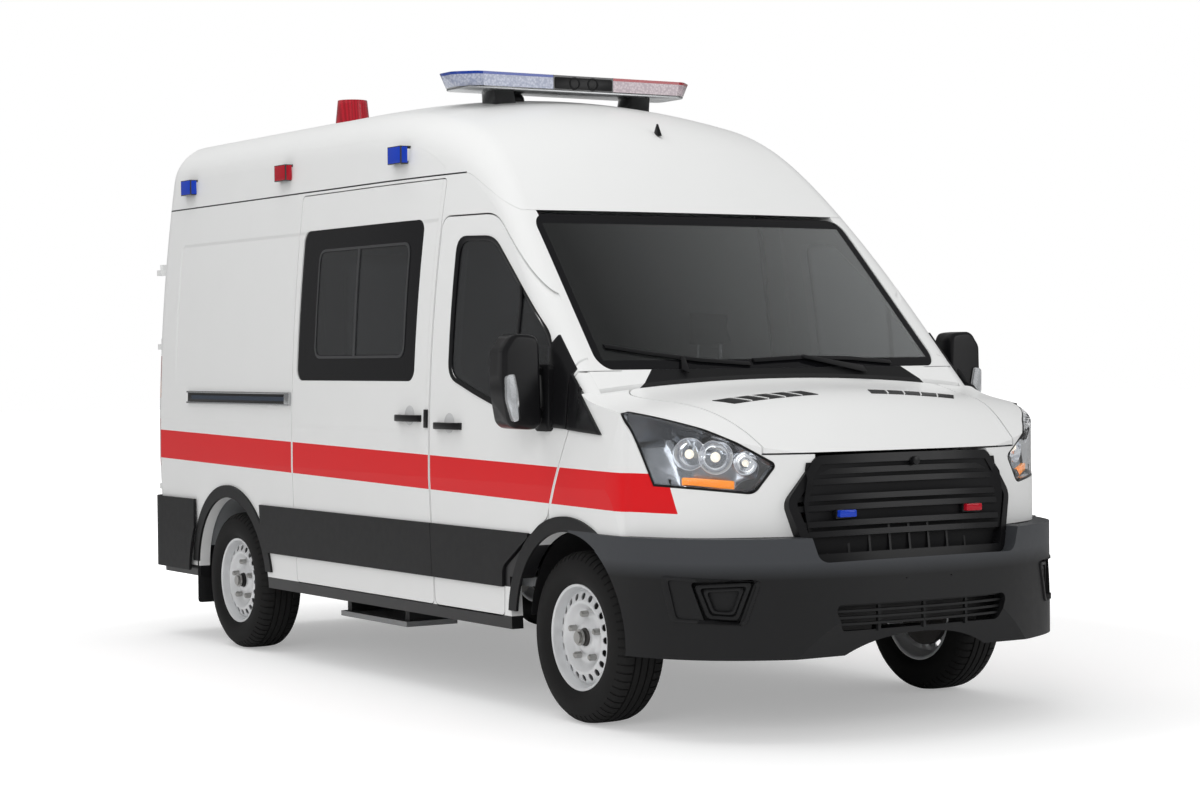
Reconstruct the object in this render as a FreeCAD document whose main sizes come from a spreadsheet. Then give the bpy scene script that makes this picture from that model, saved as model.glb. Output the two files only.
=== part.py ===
import FreeCAD, Part
import math
import os

import Sketcher
from FreeCAD import Matrix, Placement, Rotation, Vector

doc = FreeCAD.newDocument("van_ambulance")

# ---------------------------------------------------------------------------
# Driving dimensions, in millimetres and degrees.
# "back" counts rearward from the front end of the vehicle; heights count from the ground.
# ---------------------------------------------------------------------------
SIZES = [
    # name, value, what it is
    ("overall_length", 5341, "front bumper to rear bumper"),
    ("wheelbase", 3300, "front axle to rear axle"),
    ("front_overhang", 1023, "front end to front axle"),
    ("body_half", 1017, "half width at the belt, without the black trim"),
    ("belt_height", 950, "height of the widest line"),
    ("front_side_radius", 5500, "tumblehome arc of the cab side"),
    ("side_radius", 10500, "arc of the side above the belt"),
    ("sill_half", 992, "half width at the sill"),
    ("trim_thick", 12, "black trim proud of the body side"),
    ("side_offset", 30, "rear panel ahead of the rear end"),
    ("sill_height", 340, "underside of the body"),
    ("roof_height", 2705, "crown of the high roof"),
    ("roof_crown", 3400, "arc of the roof across"),
    ("roof_corner", 230, "rounding between side and roof"),
    ("rail_height", 2275, "groove under the high roof"),
    ("wall", 55, "door and side wall, outside skin to lining"),
    ("shut_gap", 7, "gap round doors and bonnet"),
    ("joint_gap", 1, "gap between fixed panels"),
    ("screen_thick", 6, "window glass"),
    ("seal_gap", 0.3, "between a pane and its opening"),
    ("seat_gap", 0.3, "between a fixed piece and what carries it"),
    ("lamp_gap", 0.7, "round lamps and grille"),
    ("rear_corner", 120, "plan rounding of the rear corners"),
    ("floor_height", 690, "top of the load floor"),
    ("floor_thick", 45, "load floor with its cross ribs"),
    ("cab_floor", 560, "top of the cab floor"),
    ("front_track", 1732, "between front wheel centres"),
    ("rear_track", 1743, "between rear wheel centres"),
    ("tyre_radius", 346, "loaded radius at the tread"),
    ("tyre_width", 232, "across the sidewalls"),
    ("rim_radius", 203, "bead seat"),
    ("rim_hole_ring", 158, "radius of the ring of oval holes"),
    ("rim_offset", 48, "hub face outboard of the wheel centre"),
    ("hub_radius", 70, "hub and its bearing"),
    ("disc_radius", 150, "brake disc"),
    ("arch_radius", 425, "wheel opening in the body side"),
    ("flare_width", 62, "black edge round a wheel opening"),
    ("door_rear_edge", 2160, "back: rear shut line of the front doors"),
    ("slide_rear_edge", 3560, "back: rear shut line of the sliding door"),
    ("bumper_top", 775, "upper edge of the bumpers and of the front flares"),
    ("flare_front", 790, "back: where the bumper ends and the front flare starts"),
    ("bonnet_edge", 1095, "height of the bonnet's front edge"),
    ("grille_lean", 7, "degrees that the grille leans"),
    ("fog_half", 812, "fog lamp pocket from the middle"),
    ("fog_back", 230, "fog lamp pocket behind the front end"),
    ("fog_turn", 42, "degrees that the pocket turns outward"),
    ("tail_bumper_top", 745, "upper edge of the rear bumper"),
    ("rear_hinge_half", 945, "rear door hinges from the middle"),
    ("radiator_half", 340, "radiator, half width"),
    ("radiator_back", 300, "radiator behind the front end"),
    ("steering_radius", 188, "steering wheel rim"),
    ("exhaust_height", 432, "middle of the exhaust pipe"),
    ("step_back", 2490, "front edge of the side step"),
    ("step_long", 660, "length of the side step"),
    ("step_low", 262, "underside of the side step"),
    ("bar_half", 655, "light bar, half of its length"),
    ("plate_pitch", 220, "between the number plate's screw holes"),
    ("plate_hole", 3, "radius of a plate screw hole"),
    ("plate_height", 608, "number plate screw holes above ground"),
    ("tow_hole", 8.5, "radius of a tow bar bolt hole"),
    ("tow_pitch_x", 400, "tow bar bolts across"),
    ("tow_pitch_y", 110, "tow bar bolts along"),
    ("rail_half", 430, "frame rails from the centre line"),
    ("rail_wide", 75, "width of a frame rail"),
    ("engine_wide", 560, "engine and gearbox block across"),
    ("engine_long", 440, "engine block along"),
    ("engine_high", 560, "engine block upright"),
    ("mirror_half", 1237, "half width over the mirrors"),
    ("kingpin_half", 800, "steering axis from the centre line"),
]

sheet = doc.addObject("Spreadsheet::Sheet", "Sizes")
for row, (alias, value, meaning) in enumerate(SIZES, start=1):
    sheet.set(f"A{row}", meaning)
    sheet.set(f"B{row}", str(value))
    sheet.setAlias(f"B{row}", alias)
doc.recompute()


def size(alias):
    return float(sheet.get(alias))


def back(distance):
    """Y of a point that lies this far behind the front end."""
    return distance - size("overall_length") / 2


FRONT_AXLE = size("front_overhang")
REAR_AXLE = FRONT_AXLE + size("wheelbase")


# ---------------------------------------------------------------------------
# Outlines and prisms
# ---------------------------------------------------------------------------
def place(plane, u, v, depth):
    """side: u = back, v = height; front: u = X, v = height; plan: u = X, v = back."""
    if plane == "side":
        return Vector(depth, back(u), v)
    if plane == "front":
        return Vector(u, depth, v)
    return Vector(u, back(v), depth)


def rounded(corners):
    """Edges of a closed outline whose corners (u, v, radius) are rounded by arcs."""
    count = len(corners)
    starts, ends, middles = [], [], []
    for i in range(count):
        u, v = corners[i][:2]
        radius = corners[i][2] if len(corners[i]) > 2 else 0
        pu, pv = corners[i - 1][:2]
        nu, nv = corners[(i + 1) % count][:2]
        a = Vector(pu - u, pv - v, 0).normalize()
        b = Vector(nu - u, nv - v, 0).normalize()
        corner = Vector(u, v, 0)
        if radius == 0:
            starts.append(corner)
            ends.append(corner)
            middles.append(None)
            continue
        half = a.getAngle(b) / 2
        reach = radius / math.tan(half)
        bisector = (a + b).normalize()
        centre = corner + bisector * (radius / math.sin(half))
        starts.append(corner + a * reach)
        ends.append(corner + b * reach)
        middles.append(centre - bisector * radius)
    return starts, middles, ends


def outline(plane, corners, depth):
    starts, middles, ends = rounded(corners)
    edges = []
    for i in range(len(corners)):
        s, e = (place(plane, p.x, p.y, depth) for p in (starts[i], ends[i]))
        if middles[i] is not None:
            m = place(plane, middles[i].x, middles[i].y, depth)
            edges.append(Part.Arc(s, m, e).toShape())
        nxt = starts[(i + 1) % len(corners)]
        n = place(plane, nxt.x, nxt.y, depth)
        if (n - e).Length > 0.01:
            edges.append(Part.LineSegment(e, n).toShape())
    return Part.Face(Part.Wire(edges))


def prism(plane, corners, start, end):
    """A rounded outline pushed from one depth to another along its plane's normal."""
    axis = {"side": Vector(1, 0, 0), "front": Vector(0, 1, 0), "plan": Vector(0, 0, 1)}[plane]
    return outline(plane, corners, start).extrude(axis * (end - start))


def box(x0, x1, back0, back1, z0, z1):
    return Part.makeBox(x1 - x0, back1 - back0, z1 - z0, Vector(x0, back(back0), z0))


def mirrored(shape):
    return shape.mirror(Vector(0, 0, 0), Vector(1, 0, 0))


def both(shape):
    return Part.makeCompound([shape, mirrored(shape)])


def grown(corners, by):
    """The same outline moved outward everywhere by a distance (inward when negative)."""
    area = sum(a[0] * b[1] - b[0] * a[1] for a, b in zip(corners, corners[1:] + corners[:1]))
    turn = 1 if area > 0 else -1
    result = []
    for i, corner in enumerate(corners):
        p, n = corners[i - 1], corners[(i + 1) % len(corners)]
        a = Vector(corner[0] - p[0], corner[1] - p[1], 0).normalize()
        b = Vector(n[0] - corner[0], n[1] - corner[1], 0).normalize()
        na = Vector(a.y, -a.x, 0) * turn
        nb = Vector(b.y, -b.x, 0) * turn
        shift = (na + nb) * (by / (1 + na.dot(nb)))
        radius = corner[2] if len(corner) > 2 else 0
        if radius:
            bend = (a.x * b.y - a.y * b.x) * turn
            radius = max(radius + (by if bend > 0 else -by), 1)
        result.append((corner[0] + shift.x, corner[1] + shift.y, radius))
    return result


def biggest(shape):
    """The largest solid of a cut, without the slivers that a seam leaves."""
    return max(shape.Solids, key=lambda solid: solid.Volume)


def panel(region):
    """The part of the body's wall that lies in a region."""
    return outer.common(region).cut(inner)


# ---------------------------------------------------------------------------
# The body's outer form, and the same form moved inward by a wall
# ---------------------------------------------------------------------------
def body_section(at, top, side, crown, corner, inset, bottom):
    """Cross-section: upright side arc, rounded corner and crowned top, as one closed wire."""
    y = back(at)
    side_r = side - inset
    belt = size("belt_height")
    side_x = size("body_half") - side
    crown_r = crown - inset
    crown_z = top - crown
    corner_r = max(corner - inset, 25)
    # centre of the corner arc: inside both arcs by the corner radius
    reach_a, reach_b = side_r - corner_r, crown_r - corner_r
    dx, dz = -side_x, crown_z - belt
    span = math.hypot(dx, dz)
    along = (reach_a ** 2 - reach_b ** 2 + span ** 2) / (2 * span)
    off = math.sqrt(reach_a ** 2 - along ** 2)
    ux, uz = dx / span, dz / span
    cx, cz = side_x + along * ux + off * uz, belt + along * uz - off * ux
    if cx < 0 or cz < bottom:
        cx, cz = side_x + along * ux - off * uz, belt + along * uz + off * ux
    on_side = Vector(side_x, 0, belt) + Vector(cx - side_x, 0, cz - belt).normalize() * side_r
    on_top = Vector(0, 0, crown_z) + Vector(cx, 0, cz - crown_z).normalize() * crown_r
    mid_dir = (on_side - Vector(cx, 0, cz)).normalize() + (on_top - Vector(cx, 0, cz)).normalize()
    mid = Vector(cx, 0, cz) + mid_dir.normalize() * corner_r
    half_angle = math.atan2(on_side.z - belt, on_side.x - side_x) / 2
    side_mid = Vector(side_x + side_r * math.cos(half_angle), 0, belt + side_r * math.sin(half_angle))
    foot = Vector(size("sill_half") - inset, 0, bottom)
    waist = Vector(size("body_half") - inset, 0, belt)
    right = [(foot, None, waist), (waist, side_mid, on_side), (on_side, mid, on_top)]

    def edge(a, m, b, sign):
        pa, pb = Vector(sign * a.x, y, a.z), Vector(sign * b.x, y, b.z)
        if m is None:
            return Part.LineSegment(pa, pb).toShape()
        return Part.Arc(pa, Vector(sign * m.x, y, m.z), pb).toShape()

    edges = [edge(a, m, b, 1) for a, m, b in right]
    top_mid = Vector(0, y, crown_z + crown_r)
    edges.append(Part.Arc(Vector(on_top.x, y, on_top.z), top_mid,
                          Vector(-on_top.x, y, on_top.z)).toShape())
    edges += [edge(b, m, a, -1) for a, m, b in reversed(right)]
    edges.append(Part.LineSegment(Vector(-foot.x, y, bottom), Vector(foot.x, y, bottom)).toShape())
    return Part.Wire(edges)


SCUTTLE_TOP = 1335
ROOF = size("roof_height")
SIDE_R = size("side_radius")
FRONT_SIDE_R = size("front_side_radius")
# back, share of the rise from the scuttle to the roof, side radius, crown radius, corner radius
TOP_LINE = [
    (860, 0, FRONT_SIDE_R, 9200, 110),
    (1230, 0.277, FRONT_SIDE_R, 9200, 110),
    (1590, 0.5525, FRONT_SIDE_R, 8000, 120),
    (1800, 0.7045, FRONT_SIDE_R * 1.06, 6000, 150),
    (2030, 0.836, FRONT_SIDE_R * 1.25, 4600, 200),
    (2330, 0.931, FRONT_SIDE_R * 1.6, 3800, 225),
    (2750, 0.9855, SIDE_R, 3400, 230),
    (3250, 0.9985, SIDE_R, size("roof_crown"), size("roof_corner")),
    (3800, 1, SIDE_R, size("roof_crown"), size("roof_corner")),
]


def top_height(index):
    return SCUTTLE_TOP + TOP_LINE[index][1] * (ROOF - SCUTTLE_TOP)


def normal_inset(index, inset):
    """Vertical drop that moves a sloping top line inward by the wall."""
    lo, hi = max(index - 1, 0), min(index + 1, len(TOP_LINE) - 1)
    slope = (top_height(hi) - top_height(lo)) / (TOP_LINE[hi][0] - TOP_LINE[lo][0])
    return inset * (math.hypot(1, slope) if hi > index else 1)


def upper_form(inset, bottom):
    """Cab and load space from the windscreen's base to the rear doors."""
    sections = []
    for i, (at, rise, side, crown, corner) in enumerate(TOP_LINE):
        top = top_height(i) - normal_inset(i, inset) + inset
        sections.append(body_section(at, top, side, crown, corner, inset, bottom))
    cab = Part.makeLoft(sections, True, False)
    last = TOP_LINE[-1]
    rear = body_section(last[0], ROOF, last[2], last[3], last[4], inset, bottom)
    end = back(size("overall_length") - size("side_offset") - inset)
    load = Part.Face(rear).extrude(Vector(0, end - back(last[0]), 0))
    rim = [edge for edge in load.Edges
           if edge.BoundBox.YMin > end - 1 and edge.BoundBox.ZMax > bottom + 1]
    return cab.fuse(load.makeFillet(max(size("rear_corner") - inset, 40), rim))


# back, centre height and crown drop of the bonnet line at the body side
BONNET_LINE = [(60, 1035, 5200), (160, 1110, 5000), (320, 1225, 5200),
               (560, 1318, 6200), (920, 1378, 9000)]


def nose_form(inset, bottom):
    """Bonnet and wings in front of the windscreen."""
    sections = []
    for at, top, crown in BONNET_LINE:
        half = size("body_half") + 40
        edge_z = top - inset - (crown - math.sqrt(crown ** 2 - half ** 2))
        y = back(at)
        a, b = Vector(half, y, edge_z), Vector(-half, y, edge_z)
        low_a, low_b = Vector(half, y, bottom), Vector(-half, y, bottom)
        sections.append(Part.Wire([
            Part.LineSegment(low_b, low_a).toShape(), Part.LineSegment(low_a, a).toShape(),
            Part.Arc(a, Vector(0, y, top - inset), b).toShape(),
            Part.LineSegment(b, low_b).toShape()]))
    hood = Part.makeLoft(sections, True, False)
    side = Part.Face(body_section(0, 2400, FRONT_SIDE_R, 9200, 110, inset, bottom))
    side = side.extrude(Vector(0, 1400, 0))
    plan = plan_form(inset, bottom)
    return hood.common(side).common(plan)


def nose_plan(points, low, high, end):
    """Prism whose plan is a smooth bow through the points of one half, mirrored, and a flat back."""
    half = [Vector(x, back(b), low) for x, b in points]
    full = [Vector(-p.x, p.y, p.z) for p in reversed(half)] + half[1:]
    bow = Part.BSplineCurve()
    bow.interpolate(Points=full, InitialTangent=Vector(0, -1, 0), FinalTangent=Vector(0, 1, 0))
    a, b = full[-1], full[0]
    back_a, back_b = Vector(a.x, back(end), low), Vector(b.x, back(end), low)
    edges = [bow.toShape(), Part.LineSegment(a, back_a).toShape(),
             Part.LineSegment(back_a, back_b).toShape(), Part.LineSegment(back_b, b).toShape()]
    return Part.Face(Part.Wire(edges)).extrude(Vector(0, 0, high - low))


def plan_form(inset, bottom):
    """Plan of the nose above the bumper, with the wings running back along the sides."""
    points = [(0, 118), (450, 162), (720, 268), (890, 410), (975, 590), (size("body_half") + 2, 900)]
    moved = []
    for i, (x, at) in enumerate(points):
        before, after = points[max(i - 1, 0)], points[min(i + 1, len(points) - 1)]
        run = Vector(after[0] - before[0], after[1] - before[1], 0).normalize()
        if i == 0:
            run = Vector(1, 0, 0)
        if i == len(points) - 1:
            run = Vector(0, 1, 0)
        moved.append((x - inset * run.y, at + inset * run.x))
    return nose_plan(moved, bottom, 2600, size("overall_length"))


def form(inset, bottom):
    """The whole body's outer form moved inward by an inset, down to a bottom height."""
    return upper_form(inset, bottom).fuse(nose_form(inset, bottom)).removeSplitter()


SILL = size("sill_height")
WALL = size("wall")
GAP = size("shut_gap")
FIXED = size("joint_gap") / 2
REAR_FACE = size("overall_length") - size("side_offset")

outer = form(0, SILL)
seat_form = form(-0.4, SILL - 1)
SEAT = size("seat_gap")
LAMP_GAP = size("lamp_gap")
inner = form(WALL, SILL - 10)
WIDE = size("body_half") + 200
WIDE_TRIM = size("body_half") + size("trim_thick")


# ---------------------------------------------------------------------------
# Outlines of the panels, seen from the side, from in front and from above
# ---------------------------------------------------------------------------
DOOR_REAR = size("door_rear_edge")
SLIDE_REAR = size("slide_rear_edge")
RAIL = size("rail_height")
FLOOR = size("floor_height")

front_door = [(DOOR_REAR, 395, 30), (DOOR_REAR, 2085, 50), (1745, 2080, 240), (1040, 1530, 40),
              (1008, 1180, 90), (1180, 820, 40), (1540, 600, 60), (1560, 395, 20)]
door_window = [(DOOR_REAR - 165, 1395, 120), (DOOR_REAR - 148, 1985, 50), (1735, 1975, 170),
               (1180, 1545, 30), (1130, 1270, 40), (1350, 1215, 200), (1760, 1325, 160)]
sliding_door = [(DOOR_REAR + 14, 395, 25), (SLIDE_REAR, 395, 25), (SLIDE_REAR, RAIL - 20, 20),
                (DOOR_REAR + 14, RAIL - 20, 20)]
slide_window = [(2316, 1368, 55), (3518, 1368, 55), (3510, 2085, 55), (2310, 2085, 55)]
screen = [(-875, 1415, 60), (875, 1415, 60), (812, 2075, 70), (-812, 2075, 70)]
bonnet_plan = [(-590, 90, 20), (590, 90, 20), (640, 300, 80), (830, 905, 60), (-830, 905, 60),
               (-640, 300, 80)]
lamp_front = [(572, 1052, 20), (655, 938, 45), (1060, 985, 10), (1060, 1275, 10), (985, 1262, 20),
              (800, 1190, 200)]
lamp_side = [(100, 900, 0), (478, 900, 0), (652, 1300, 0), (100, 1300, 0)]
hexagon = [(-425, 1086, 45), (425, 1086, 45), (556, 915, 60), (480, 676, 50), (-480, 676, 50),
           (-556, 915, 60)]


def screen_side(above):
    """Side view of everything ahead of and above the body side: roof over the rail groove."""
    return [(1300, 2092 + above, 0), (1640, 2092 + above, 0), (1760, 2150 + above, 60),
            (2010, RAIL + above, 200), (6000, RAIL + above, 0), (6000, 3000, 0), (1300, 3000, 0)]


def side_prism(corners, sign=0, margin=0):
    """Prism across the whole vehicle, or across one half of it (sign 1 left, -1 right)."""
    shape = grown(corners, margin) if margin else corners
    if sign > 0:
        return prism("side", shape, 60, WIDE)
    if sign < 0:
        return prism("side", shape, -WIDE, -60)
    return prism("side", shape, -WIDE, WIDE)


def arch(axle, radius, half=None):
    width = half or WIDE
    return Part.makeCylinder(radius, 2 * width, Vector(-width, back(axle), size("tyre_radius")),
                             Vector(1, 0, 0))


door_zone_half = prism("front", [(900, 300), (905, 1415), (843, 2110), (843, 2300), (WIDE, 2300),
                                 (WIDE, 300)], back(900), back(2400))
door_zone = door_zone_half.fuse(mirrored(door_zone_half))
arches = arch(FRONT_AXLE, size("arch_radius")).fuse(arch(REAR_AXLE, size("arch_radius")))
nodes = {}


def keep(name, shape):
    """A finished sub-part: one named feature of the document."""
    feature = doc.addObject("Part::Feature", name)
    feature.Label = name
    feature.Shape = shape
    feature.Placement = shape.Placement
    nodes[name] = feature
    return feature


MIDDLE = "Sizes.overall_length / 2"


def bound(kind, name, at, turn=None, **fields):
    """A primitive of the document whose sizes and place follow the sheet."""
    item = doc.addObject(kind, name)
    if turn:
        item.Placement = Placement(Vector(0, 0, 0), turn)
    for field, expression in fields.items():
        item.setExpression(field, expression)
    for axis, expression in zip("xyz", at):
        item.setExpression(f".Placement.Base.{axis}", expression)
    return item


def block(name, x0, x1, back0, back1, z0, z1):
    """A box between expressions: across, distances behind the front end, heights."""
    return bound("Part::Box", name, (x0, f"{back0} - {MIDDLE}", z0), Length=f"({x1}) - ({x0})",
                 Width=f"({back1}) - ({back0})", Height=f"({z1}) - ({z0})")


def rod(name, radius, length, x, at, z, axis):
    """A cylinder from a point along an axis."""
    turn = Rotation(Vector(0, 0, 1), axis)
    return bound("Part::Cylinder", name, (x, f"{at} - {MIDDLE}", z), turn, Radius=radius, Height=length)


def joined(name, pieces):
    """Several objects of the document fused to one sub-part."""
    item = doc.addObject("Part::MultiFuse", name)
    item.Shapes = pieces
    item.Refine = True
    item.Label = name
    nodes[name] = item
    return item


# --- roof: crown, front dome and the two flanks down to the rail groove ----------------------
roof_cut = prism("side", screen_side(FIXED), -WIDE, WIDE)
screen_hole = prism("front", screen, back(700), back(1900))
tail_doors = [(-925, 590, 20), (925, 590, 20), (925, 1050, 400), (745, 2560, 40), (-745, 2560, 40),
              (-925, 1050, 400)]
tail_front = back(REAR_FACE - 130)
tail_opening = prism("front", grown(tail_doors, GAP), tail_front, back(6000))
keep("roof", biggest(panel(roof_cut).cut(screen_hole).cut(tail_opening)))



def hinge_barrel(height, lift):
    """Half of a rear door hinge's barrel: the lower one stays, the upper one turns."""
    foot = Vector(size("rear_hinge_half"), back(REAR_FACE + HINGE_OUT), height + lift)
    return Part.makeCylinder(HINGE_R, HINGE_HIGH, foot)


HINGE_OUT, HINGE_R, HINGE_HIGH = 22, 8, 30
HINGE_X = size("rear_hinge_half")
HINGES = (775, 1530, 1930)
# --- body sides: pillars, sills and quarters, one pressing a side ------------------------------
below_roof = box(-WIDE, WIDE, 800, 6000, 0, 3000).cut(prism("side", screen_side(-FIXED), -WIDE, WIDE))
BUMPER_TOP = size("bumper_top")
wing_side = [(0, BUMPER_TOP + 0.6, 0), (1160, BUMPER_TOP + 0.6, 0), (1160, 860, 0), (1001, 1180, 60), (1001, 1405, 0),
             (930, 1405, 30), (860, 1352, 0), (0, 1352, 0)]
tail_lamp_zone = box(942, WIDE, REAR_FACE - 105, 6000, 905, 1495)
side_region = below_roof.cut(screen_hole).cut(arches).cut(side_prism(wing_side, 0, GAP))
side_region = side_region.cut(box(-WIDE, WIDE, 0, 1000, 0, 1410)).cut(tail_opening)
side_region = side_region.cut(box(-WIDE, WIDE, 0, 1500, 0, 560))
side_region = side_region.cut(side_prism(front_door, 0, GAP).common(door_zone))
side_region = side_region.cut(box(-780, 780, 500, 1900, 0, 3000))
side_region = side_region.cut(tail_lamp_zone).cut(mirrored(tail_lamp_zone))
left, right = box(10, WIDE, 0, 6000, 0, 3000), box(-WIDE, -10, 0, 6000, 0, 3000)
left_region = side_region.common(left).cut(side_prism(slide_window, 1))
right_region = side_region.common(right).cut(side_prism(sliding_door, -1, GAP - 2))
straps = []
for height in HINGES:
    straps.append(hinge_barrel(height, 0))
    straps.append(box(HINGE_X - 6, HINGE_X + 28, REAR_FACE - 40, REAR_FACE + HINGE_OUT, height, height + HINGE_HIGH))
straps = Part.makeCompound(straps)
for side_name, region, side_straps in (("left", left_region, straps), ("right", right_region, mirrored(straps))):
    side_shape = biggest(panel(region))
    for strap in side_straps.Solids:
        side_shape = side_shape.fuse(strap)
    keep(f"body_side_{side_name}", biggest(side_shape))

# --- sliding door: closed, on the right ---------------------------------------------------------
keep("sliding_door", biggest(panel(side_prism(sliding_door, -1).cut(side_prism(slide_window, -1)))))

# --- front doors: the frame behind the skin is set in so that the door swings clear ----------------
behind_skin = form(20, SILL - 5)
region = side_prism(front_door, 1).common(door_zone).cut(side_prism(door_window, 1)).cut(arches)
rebate = region.cut(side_prism(front_door, 1, -20)).common(behind_skin)
front_door_shape = biggest(panel(region).cut(rebate))
keep("front_door_left", front_door_shape)
keep("front_door_right", mirrored(front_door_shape))

# --- glass ----------------------------------------------------------------------------------
pane_outer, pane_inner = form(6, SILL), form(6 + size("screen_thick"), SILL - 5)
SEAL = size("seal_gap")


def pane(region):
    return biggest(pane_outer.common(region).cut(pane_inner))


keep("windscreen", pane(prism("front", grown(screen, -SEAL), back(700), back(1900))))
side_panes = [pane(side_prism(slide_window, sign, -SEAL)) for sign in (1, -1)]
keep("side_windows", Part.makeCompound(side_panes))
for name, sign in (("left", 1), ("right", -1)):
    keep(f"front_door_glass_{name}", pane(side_prism(door_window, sign, -SEAL)))

# --- bonnet: a skin between the wings, hinged at the windscreen -----------------------------------
nose, nose_lining = nose_form(0, SILL), nose_form(30, SILL - 5)
BONNET_EDGE = size("bonnet_edge")
bonnet_region = prism("plan", bonnet_plan, BONNET_EDGE, 1600)
keep("bonnet", biggest(nose.common(bonnet_region).cut(nose_lining)))

# --- wings: between bumper, bonnet, lamp and door, with the wheel opening cut ----------------------
bonnet_hole = prism("plan", grown(bonnet_plan, GAP), BONNET_EDGE - GAP, 2000)
lamp_prism = prism("front", lamp_front, back(0), back(900)).common(prism("side", lamp_side, 0, WIDE))
lamp_hole = prism("front", grown(lamp_front, LAMP_GAP), back(0), back(900)).common(
    prism("side", grown(lamp_side, LAMP_GAP), 0, WIDE))


def leaning(shape):
    """The grille and its opening lean forward at the bottom, about the bonnet's front edge."""
    return shape.rotated(Vector(0, back(118), 1086), Vector(1, 0, 0), -size("grille_lean"))


hex_hole = leaning(prism("front", grown(hexagon, LAMP_GAP), back(-150), back(500)))
wing_region = side_prism(wing_side, 1).common(box(428, WIDE, 0, 2000, 0, 2000)).cut(bonnet_hole).cut(arches).cut(hex_hole).cut(lamp_hole)
wing_lining = nose_form(WALL, SILL - 5).common(box(-WIDE, WIDE, 0, 905, 0, 2000))
wing = biggest(outer.common(wing_region).cut(wing_lining).cut(box(-925, 925, 895, 1300, 0, 2000)))
keep("front_wing_left", wing)
keep("front_wing_right", mirrored(wing))

# --- headlamps --------------------------------------------------------------------------------
lamp = biggest(nose_form(3, SILL).common(lamp_prism).cut(nose_form(120, SILL - 5)))
keep("headlamps", both(lamp))
keep("tail_lamps", both(biggest(panel(box(942.5, WIDE, REAR_FACE - 104.5, 6000, 905.5, 1494.5)))))

# --- rear doors: two leaves meeting at the middle, each in one piece with its frame -------------
tail_window = [(120, 1400, 60), (790, 1400, 60), (705, 2060, 60), (120, 2060, 60)]
leaf_half = box(GAP / 2, WIDE, REAR_FACE - WALL, 6000, 0, 3000)
leaf = outer.common(prism("front", tail_doors, tail_front, back(6000))).common(leaf_half)
leaf_hole = prism("front", tail_window, tail_front, back(6000))
leaf = biggest(leaf.cut(leaf_hole))
for height in HINGES:
    low, high = height + HINGE_HIGH + SEAT, height + 2 * HINGE_HIGH + SEAT
    leaf_edge = min(925, 925 - (height - 1050) * 180 / 1510)
    leaf = leaf.fuse(hinge_barrel(height, HINGE_HIGH + SEAT))
    leaf = leaf.fuse(box(leaf_edge - 60, HINGE_X, REAR_FACE + 6, REAR_FACE + HINGE_OUT, low, high))
    leaf = leaf.fuse(box(leaf_edge - 60, leaf_edge - 10, REAR_FACE - 10, REAR_FACE + 8, low, high))
tail_pane = outer.common(prism("front", grown(tail_window, -SEAL), tail_front, back(6000)))
tail_pane = tail_pane.common(box(0, WIDE, REAR_FACE - 20, REAR_FACE - 20 + size("screen_thick"), 0, 3000))
keep("rear_door_left", leaf)
keep("rear_door_right", mirrored(leaf))
keep("rear_door_glass_left", biggest(tail_pane))
keep("rear_door_glass_right", mirrored(biggest(tail_pane)))

# --- scuttle: cowl under the windscreen and the firewall below it --------------------------------
LINER = size("arch_radius") + 15
liner_room = arch(FRONT_AXLE, LINER + 0.5).cut(box(-530, 530, 0, 3000, -500, 3000))
cowl_side = [(912, 1290, 0), (912, 1500, 0), (1000, 1500, 0), (1000, 1290, 0)]
cowl = outer.common(prism("side", cowl_side, -924.5, 924.5)).common(box(-924.5, 924.5, 0, 1100, 0, 1409.4))
cowl = cowl.fuse(outer.common(box(-779, 779, 925, 1000, 1400, 1414.6)))
firewall = box(-860, 860, 985, 1010, 515 + SEAT, 1335).cut(liner_room)
lug = box(700, 740, 905 + SEAT, 930, 1318, 1338)
scuttle = cowl.fuse(firewall).fuse(lug).fuse(mirrored(lug))
keep("scuttle", biggest(scuttle))

# --- front wheel housings: half drums over the wheels with a cheek on the inside --------------------
drum = arch(FRONT_AXLE, LINER).cut(arch(FRONT_AXLE, LINER - 5))
cheek = arch(FRONT_AXLE, LINER).common(box(532, 537, 0, 3000, -500, 3000))
liner = drum.common(box(532, 924, 0, 3000, 400, 3000)).fuse(cheek.common(box(500, 600, 0, 3000, 400, 3000)))
strut_room = Part.makeCylinder(75, 300, Vector(size("kingpin_half") - 90, back(FRONT_AXLE), 700))
keep("arch_liners", both(biggest(liner.cut(strut_room))))

# --- front bumper: moulded shell with the lower intake and the plate's place -----------------------
FLARE_FRONT = size("flare_front")
bumper_points = [(0, 0), (430, 42), (700, 150), (900, 320), (1000, 520), (WIDE_TRIM, 880)]


def bumper_form(inset, low, high):
    narrow = 1 - inset / WIDE_TRIM
    points = [(x * narrow, b + inset * (b < 800)) for x, b in bumper_points]
    return nose_plan(points, low, high, 905)




def fog_prism(margin):
    """Trapezoid round a fog lamp, square to the bumper's corner."""
    corners = grown([(-125, 625, 12), (125, 612, 12), (70, 462, 12), (-62, 455, 12)], margin)
    shape = prism("front", corners, -400, 200)
    shape.rotate(Vector(0, 0, 0), Vector(0, 0, 1), size("fog_turn"))
    shape.translate(Vector(size("fog_half"), back(size("fog_back")), 0))
    return shape


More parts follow.
